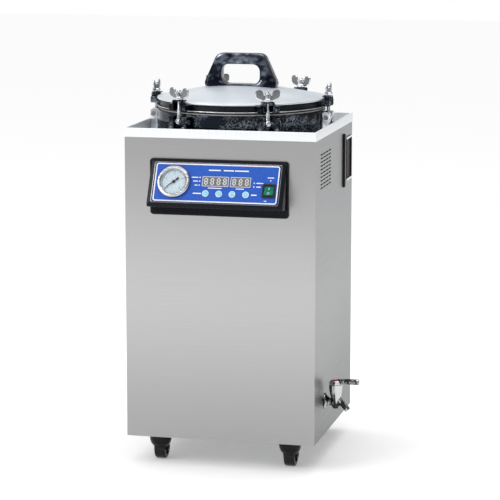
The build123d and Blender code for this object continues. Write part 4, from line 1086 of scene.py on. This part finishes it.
    def _needle(self) -> None:
        """Tapered pointer with a broad tail and a domed boss."""
        u, v = self.spot("gauge_lens")
        bench = self.face.moved(u, v, self.label_top + 3.6 * MM).turned(math.radians(40))
        outline = [(-24, -0.45), (-2, -1.2), (6, -1.0), (8, -2.2), (13, -2.2), (13, 2.2), (8, 2.2), (6, 1.0),
                   (-2, 1.2), (-24, 0.45)]
        rows = edge_rows(0, 0.8 * MM, 0.1 * MM, 0.25 * MM, 2)
        draft = Draft().cut(bench, [(a * MM, b * MM) for a, b in outline], rows, 0.2 * MM, 2)
        boss = mm((0, 0.02), (3.2, 0.02), (3.2, 0.7), (2.4, 1.1), (0, 1.25))
        draft.turn(bench, boss, 28)
        draft.fit("gauge_pointer", ("ink_black",), "gauge_needle", "needle_black", "gauge_needle")

    def _windows(self) -> None:
        """Two display windows: pale frame, dark ground and rows of seven-segment figures."""
        draft = Draft()
        for centre, width, figures in ((-1.8, 56.5, 4), (51.8, 43.5, 3)):
            bench = self.face.moved(centre * MM, self.window_up, self.label_top)
            frame_rows = mm((0, -0.2), (0, 0.35), (0.2, 0.5), (1.1, 0.5), (1.3, 0.3), (1.3, -0.2))
            draft.plate(bench, (width * MM, self.window_height), 1.0 * MM, frame_rows, 4, ring=True)
            ground = mm((1.2, -0.2), (1.2, 0.3))
            draft.plate(bench, (width * MM, self.window_height), 1.0 * MM, ground, 2, mark=1)
            pitch = (width - 3) / figures
            for place in range(figures):
                u = (place - (figures - 1) / 2) * pitch * MM
                self._digit(draft, bench.moved(u, 0), 8.2 * MM, 15.5 * MM, 2.4 * MM)
        draft.fit("display_panes", ("window_frame", "window_grey", "segment_grey"), "cabinet",
                  "display_dark", "display_windows")

    @staticmethod
    def _digit(draft: Draft, bench: Bench, width: float, height: float, thick: float) -> None:
        """Seven bars with pointed ends, on the outline and the middle of a figure eight."""
        half_w, half_h = width / 2 - thick / 2, height / 2 - thick / 2
        flats = [(0, half_h, half_w), (0, 0, half_w), (0, -half_h, half_w)]
        stands = [(sign * half_w, side * half_h / 2, half_h / 2) for sign in (-1, 1) for side in (-1, 1)]
        for bars, turn in ((flats, 0.0), (stands, HALF_TURN / 2)):
            for u, v, reach in bars:
                r, t = reach - 0.35 * MM, thick / 2
                hexagon = [(-r, 0), (-r + t, -t), (r - t, -t), (r, 0), (r - t, t), (-r + t, t)]
                spot = bench.moved(u, v).turned(turn)
                draft.cut(spot, hexagon, mm((0, 0.2), (0, 0.38)), 0.05 * MM, 1, mark=2)

    def _key(self, number: int) -> None:
        """Round key: pale rim, dished cap, and on the inner two an amber spot."""
        u, v = self.spot(f"key_{number}")
        bench = self.face.moved(u, v, self.label_top)
        r = self.key_radius
        rim = mm((0, -3.2), (r / MM, -3.2), (r / MM, 1.0), (r / MM - 0.4, 1.5), (r / MM - 1.3, 1.5),
                        (r / MM - 1.6, 1.1), (0, 1.1))
        draft = Draft().turn(bench, rim, 40)
        cap = mm((0, 0.9), (5.5, 0.9), (5.5, 1.3), (5.0, 1.45), (2.5, 1.3), (0, 1.22))
        draft.turn(bench, cap, 40, mark=1)
        if number in (2, 3):
            spot = mm((0, 1.1), (1.6, 1.1), (1.6, 1.42), (1.2, 1.5), (0, 1.5))
            draft.turn(bench, spot, 20, mark=2)
        draft.fit(f"key_cap_{number}", ("key_rim", "key_cyan", "key_amber"), f"key_{number}", "key_cyan",
                  f"key_{number}")

    def _rocker(self) -> None:
        """Snap-in frame with a bevelled lip, and the green rocker, its upper half pressed in."""
        u, v = self.spot("rocker_frame")
        bench = self.face.moved(u, v, self.label_top)
        rows = mm((0, -0.3), (0, 1.4), (0.8, 2.4), (2.6, 2.4), (3.4, 1.2), (3.4, -1.5), (3.2, -1.6))
        draft = Draft().plate(bench, (28 * MM, 31 * MM), 2 * MM, rows, 4)
        draft.fit("rocker_bezel", ("frame_brown",), "cabinet", "switch_black", "rocker_frame")
        side = Bench(bench.origin, bench.up, bench.out, bench.across)
        outline = [(-10.2, -2.6), (10.2, -2.6), (10.2, 0.2), (0.0, 1.5), (-10.2, 4.6)]
        rows = edge_rows(-10 * MM, 10 * MM, 0.7 * MM, 0.7 * MM)
        draft = Draft().cut(side, [(a * MM, b * MM) for a, b in outline], rows, mm(0.4, 0.4, 0.5, 3, 1.0))
        mark_rows = mm((0, -0.4), (0, 0.12))
        for along, slope, ring in ((5.5, -0.127, False), (-5.5, -0.295, True)):
            height = np.interp(along, [-10.2, 0, 10.2], [4.6, 1.5, 0.2])
            lean = math.atan(slope)
            up = tuple(math.cos(lean) * np.asarray(bench.up) + math.sin(lean) * np.asarray(bench.out))
            out = tuple(math.cos(lean) * np.asarray(bench.out) - math.sin(lean) * np.asarray(bench.up))
            spot = Bench(tuple(bench.place(0, along * MM, height * MM)), bench.across, up, out)
            if ring:
                rows = mm((0, -0.4), (0, 0.12), (0.7, 0.12), (0.7, -0.4))
                draft.plate(spot, (5 * MM, 5 * MM), 2.5 * MM, rows, 6, ring=True, mark=1)
            else:
                draft.plate(spot, (1 * MM, 5 * MM), 0.3 * MM, mark_rows, 2, mark=1)
        draft.fit("rocker_lens", ("switch_green", "print_white"), "rocker_key", "switch_green", "rocker_key")


# ---------------------------------------------------------------- drain tap
@dataclass
class Tap:
    """Drain tap: wall flange, elbow, faceted column, spout, cap and lever."""

    column_head: float = 14.5 * MM
    spout_tilt: float = 48.0

    wall: float = 205 * MM
    axis_out: float = 24 * MM
    inlet_height: float = 133 * MM
    head_height: float = 171 * MM

    def build(self) -> None:
        """Makes the body and the lever."""
        centre = (self.wall + self.axis_out, float(middle("tap_body")[1]))
        self._body(*centre)
        self._lever(*centre)

    def _body(self, x: float, y: float) -> None:
        """Bell flange, elbow, faceted column that widens upwards, and the spout with its raised band.

        Args:
            x, y: the column's axis.
        """
        sideways = Bench((self.wall, y, self.inlet_height), REAR, UP, RIGHT)
        flange = softened(mm((0, 0), (17, 0), (17, 2), (12.5, 5), (9.5, 9), (8, 11), (0, 11)),
                          mm(0, 0.4, 1.2, 2, 2, 1, 0))
        draft = Draft().turn(sideways, flange, 56)
        t = np.linspace(0, 1, 14)
        bend = np.stack([self.wall + 8 * MM + t * 16 * MM, np.full_like(t, y),
                         self.inlet_height - 1.5 * MM * np.sin(t * HALF_TURN)], axis=1)
        draft.skin(tube(bend, 7.6 * MM + 1.0 * MM * t, REAR, 28))
        foot = self.inlet_height - 8 * MM
        head = self.column_head
        lower = mm((2.4, -8.2), (6, -6.6), (7.76, -3.5), (8.6, 0), (10.4, 16), (13.2, 27)) + (0, foot)
        top = self.head_height
        upper = [(head, foot + 36 * MM), (head, top - 1.2 * MM), (head - 1 * MM, top)]
        draft.turn(Bench((x, y, 0)).turned(HALF_TURN / 8), np.vstack([lower, upper]), 8)
        tilt = math.radians(self.spout_tilt)
        way = (math.cos(tilt), 0.0, -math.sin(tilt))
        rise = (math.sin(tilt), 0.0, math.cos(tilt))
        pipe = Bench((x, y, self.inlet_height + 12 * MM), REAR, rise, way)
        spout = softened(oblong(*mm(4.5, 0, 6.25, 40)), 0.5 * MM)
        draft.turn(pipe, spout, 40, ring=True)
        band = softened(oblong(*mm(5, 19, 8.4, 22)), 0.8 * MM)
        draft.turn(pipe, band, 40, ring=True)
        draft.fit("tap_casting", ("tap_chrome",), "cabinet", "polished_steel", "tap_body", sharp=24)

    def _lever(self, x: float, y: float) -> None:
        """Eight-sided cap with a red button, and a bar with a thicker end.

        Args:
            x, y: the column's axis.
        """
        _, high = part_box("tap_lever")
        profile = softened(mm((0, 0), (15, 0), (15, 3), (10, 8), (0, 8)), mm(0, 0.5, 0.8, 1.2, 0))
        cap = Bench((x, y, self.head_height + 0.3 * MM))
        lever = Draft().turn(cap, profile, 8)
        button = mm((0, 7.8), (6.5, 7.8), (6.5, 8.1), (5.6, 8.6), (0, 8.9))
        lever.turn(cap, button, 32, mark=1)
        arm = Bench((x, y, self.head_height + 6.3 * MM), REAR, UP, RIGHT)
        reach = high.x - x
        end = reach / MM
        bar = softened(mm((0, 4), (4.6, 4), (4.8, 18), (6, 21), (6, end), (0, end)), mm(0, 0.3, 2, 2, 2.4, 0))
        lever.turn(arm, bar, 32)
        lever.fit("tap_handle", ("tap_chrome", "ink_red"), "tap_lever", "polished_steel", "tap_lever",
                  sharp=24)


# ---------------------------------------------------------------- castors
@dataclass
class Castor:
    """One castor: bowl-shaped hood with cheeks, and its wheel."""

    number: int
    hood: float = 23.8 * MM
    wheel: float = 25 * MM
    wheel_half: float = 12 * MM
    trail: float = 10 * MM

    def build(self) -> None:
        """Makes the hood and the wheel."""
        node = f"castor_fork_{self.number}"
        _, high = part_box(node)
        wheel_centre = middle(f"castor_wheel_{self.number}")
        x, y = wheel_centre[0], wheel_centre[1] - self.trail
        top = high.z
        wide = self.hood / MM
        bowl = softened(mm((0, 0), (wide, 0), (wide, -11), (wide - 2.4, -19), (wide - 8.6, -27.5), (0, -28)),
                        mm(0, 1.2, 9, 12, 4, 0), 8)
        draft = Draft().turn(Bench((x, y, top)), bowl, 56)
        axle = tuple(wheel_centre)
        inner, outer = self.wheel_half + 0.6 * MM, self.wheel_half + 3.6 * MM
        for side in (-1, 1):
            cheek = Bench(axle, REAR, UP, (side, 0, 0))
            angle = np.linspace(HALF_TURN, FULL_TURN, 13)
            round_foot = [(9 * MM * math.cos(a), 9 * MM * math.sin(a)) for a in angle]
            outline = round_foot + [(9 * MM, 16 * MM), (-9 * MM, 16 * MM)]
            draft.cut(cheek, outline, edge_rows(inner, outer, 0.3 * MM, 1.2 * MM), 1.0 * MM, 2)
            bolt = edge_rows(0, 1.5 * MM, 0, 1 * MM)
            profile = np.vstack([np.stack([4.5 * MM - bolt[:, 0], outer - 0.2 * MM + bolt[:, 1]], axis=1),
                                 (0, outer + 1.3 * MM)])
            draft.turn(cheek, profile, 20)
        draft.fit(f"castor_hood_{self.number}", ("castor_black",), node, "castor_black", node, sharp=50)
        self._wheel(wheel_centre)

    def _wheel(self, centre: Array) -> None:
        """Turns the wheel: rounded tread, sunk web with a hub, and a bore for the axle."""
        side = Bench(tuple(centre), REAR, UP, RIGHT)
        half = self.wheel_half
        near = mm((3.05, 1), (7, 0), (7.4, 3), (15.5, 3), (16.5, 0), (self.wheel / MM, 0)) - (0, half)
        section = np.vstack([near, near[::-1] * (1, -1)])
        section = softened(section, mm(0.2, 0.6, 0.8, 0.8, 0.8, 6, 6, 0.8, 0.8, 0.8, 0.6, 0.2), 6)
        draft = Draft().turn(side, section, 64, ring=True)
        body = f"castor_wheel_{self.number}"
        draft.fit(f"castor_tyre_{self.number}", ("tread_black",), body, "tread_black", body, sharp=45)


# ---------------------------------------------------------------- studio
@dataclass
class Studio:
    """Pale floor, white surround, soft lights and the camera."""

    camera_place: Triple = (1.139, -4.726, 1.264)
    yaw: float = 13.34
    pitch: float = 9.64
    lens: float = 162.5
    floor_glow: float = 0.29

    def build(self) -> None:
        """Makes the floor, the world, the lights and the camera."""
        scene = bpy.context.scene
        scene.view_settings.view_transform = "Standard"
        self._floor()
        scene.world = self._surround()
        self._softbox("key", (-2.2, -2.6, 2.6), 1.8, 38.0)
        self._softbox("top", (0.3, 0.2, 3.0), 2.0, 26.0)
        data = bpy.data.cameras.new("camera")
        data.lens = self.lens
        data.sensor_width = 36.0
        data.clip_end = 60.0
        camera = bpy.data.objects.new("camera", data)
        camera.location = self.camera_place
        camera.rotation_euler = (math.radians(90 - self.pitch), 0, math.radians(self.yaw))
        scene.collection.objects.link(camera)
        scene.camera = camera

    @staticmethod
    def _surround() -> bpy.types.World:
        """White where the camera looks at it, and otherwise a white room with soft darker bands.

        The room is one brightness over the sine of the height, times another over the sideways part of
        the direction, so that polished steel has something to mirror.

        Returns:
            The world.
        """
        world = bpy.data.worlds.new("surround")
        world.use_nodes = True
        tree = world.node_tree
        wiring = Wiring(tree)
        white = tree.nodes["Background"]
        wiring.feed(white, {"Color": (1.0, 1.0, 1.0, 1.0)})
        parts = wiring.add("SeparateXYZ", {"Vector": wiring.add("TexCoord").outputs["Generated"]})
        bands = {
            "Z": ((0.50, 0.95), (0.60, 0.42), (0.72, 0.55), (0.86, 1.10), (1.0, 1.25)),
            "X": ((0.0, 1.05), (0.30, 1.15), (0.47, 0.70), (0.62, 0.95), (0.80, 0.35), (1.0, 0.55)),
        }
        shades = []
        for way, stops in bands.items():
            across = wiring.spread(parts.outputs[way], (-1.0, 1.0))
            shades.append(wiring.ramp(across, [(at, (shade,) * 3) for at, shade in stops], True))
        room = wiring.add("Background", {"Color": wiring.multiplied(*shades)})
        camera_ray = wiring.add("LightPath").outputs["Is Camera Ray"]
        choice = wiring.add("MixShader", {"Fac": camera_ray, 1: room.outputs["Background"],
                                          2: white.outputs["Background"]})
        wiring.feed(tree.nodes["World Output"], {"Surface": choice.outputs["Shader"]})
        return world

    def _floor(self) -> None:
        """A wide pale floor, with a little light of its own that keeps the shadow soft."""
        half = 14.0
        mesh = bpy.data.meshes.new("floor")
        corners = [(-half, -half, 0), (half, -half, 0), (half, half, 0), (-half, half, 0)]
        mesh.from_pydata(corners, [], [(0, 1, 2, 3)])
        floor = bpy.data.objects.new("floor", mesh)
        paint = bpy.data.materials.new("floor_white")
        paint.use_nodes = True
        Wiring(paint.node_tree).feed(paint.node_tree.nodes["Principled BSDF"], {
            "Base Color": (0.86, 0.86, 0.86, 1.0), "Roughness": 0.8, "Specular IOR Level": 0.1,
            "Emission Color": (1.0, 1.0, 1.0, 1.0), "Emission Strength": self.floor_glow})
        mesh.materials.append(paint)
        bpy.context.scene.collection.objects.link(floor)

    @staticmethod
    def _softbox(name: str, place: Triple, size: float, power: float) -> None:
        """A square light that looks at the middle of the cabinet."""
        data = bpy.data.lights.new(name, "AREA")
        data.size = size
        data.energy = power
        lamp = bpy.data.objects.new(name, data)
        aim = np.array([0, 0, 0.45]) - np.asarray(place)
        lamp.location = place
        lamp.rotation_euler = (math.acos(aim[2] / np.linalg.norm(aim)) - HALF_TURN, 0.0,
                               math.atan2(aim[1], aim[0]) + HALF_TURN / 2)
        bpy.context.scene.collection.objects.link(lamp)


def main() -> None:
    """Builds every sub-assembly in order."""
    logging.basicConfig(level=logging.INFO, format="%(name)s: %(message)s")
    for finish in FINISHES:
        PAINT[finish.name] = finish.material()
    Studio().build()
    Cabinet().build()
    clamps = [Clamp(number) for number in range(1, 7)]
    angles = [clamp.angle() for clamp in clamps]
    Mouth().build(angles)
    Lid().build(angles)
    for clamp in clamps:
        clamp.build()
    Console().build()
    Tap().build()
    for number in range(1, 5):
        Castor(number).build()


if __name__ == "__main__":
    main()
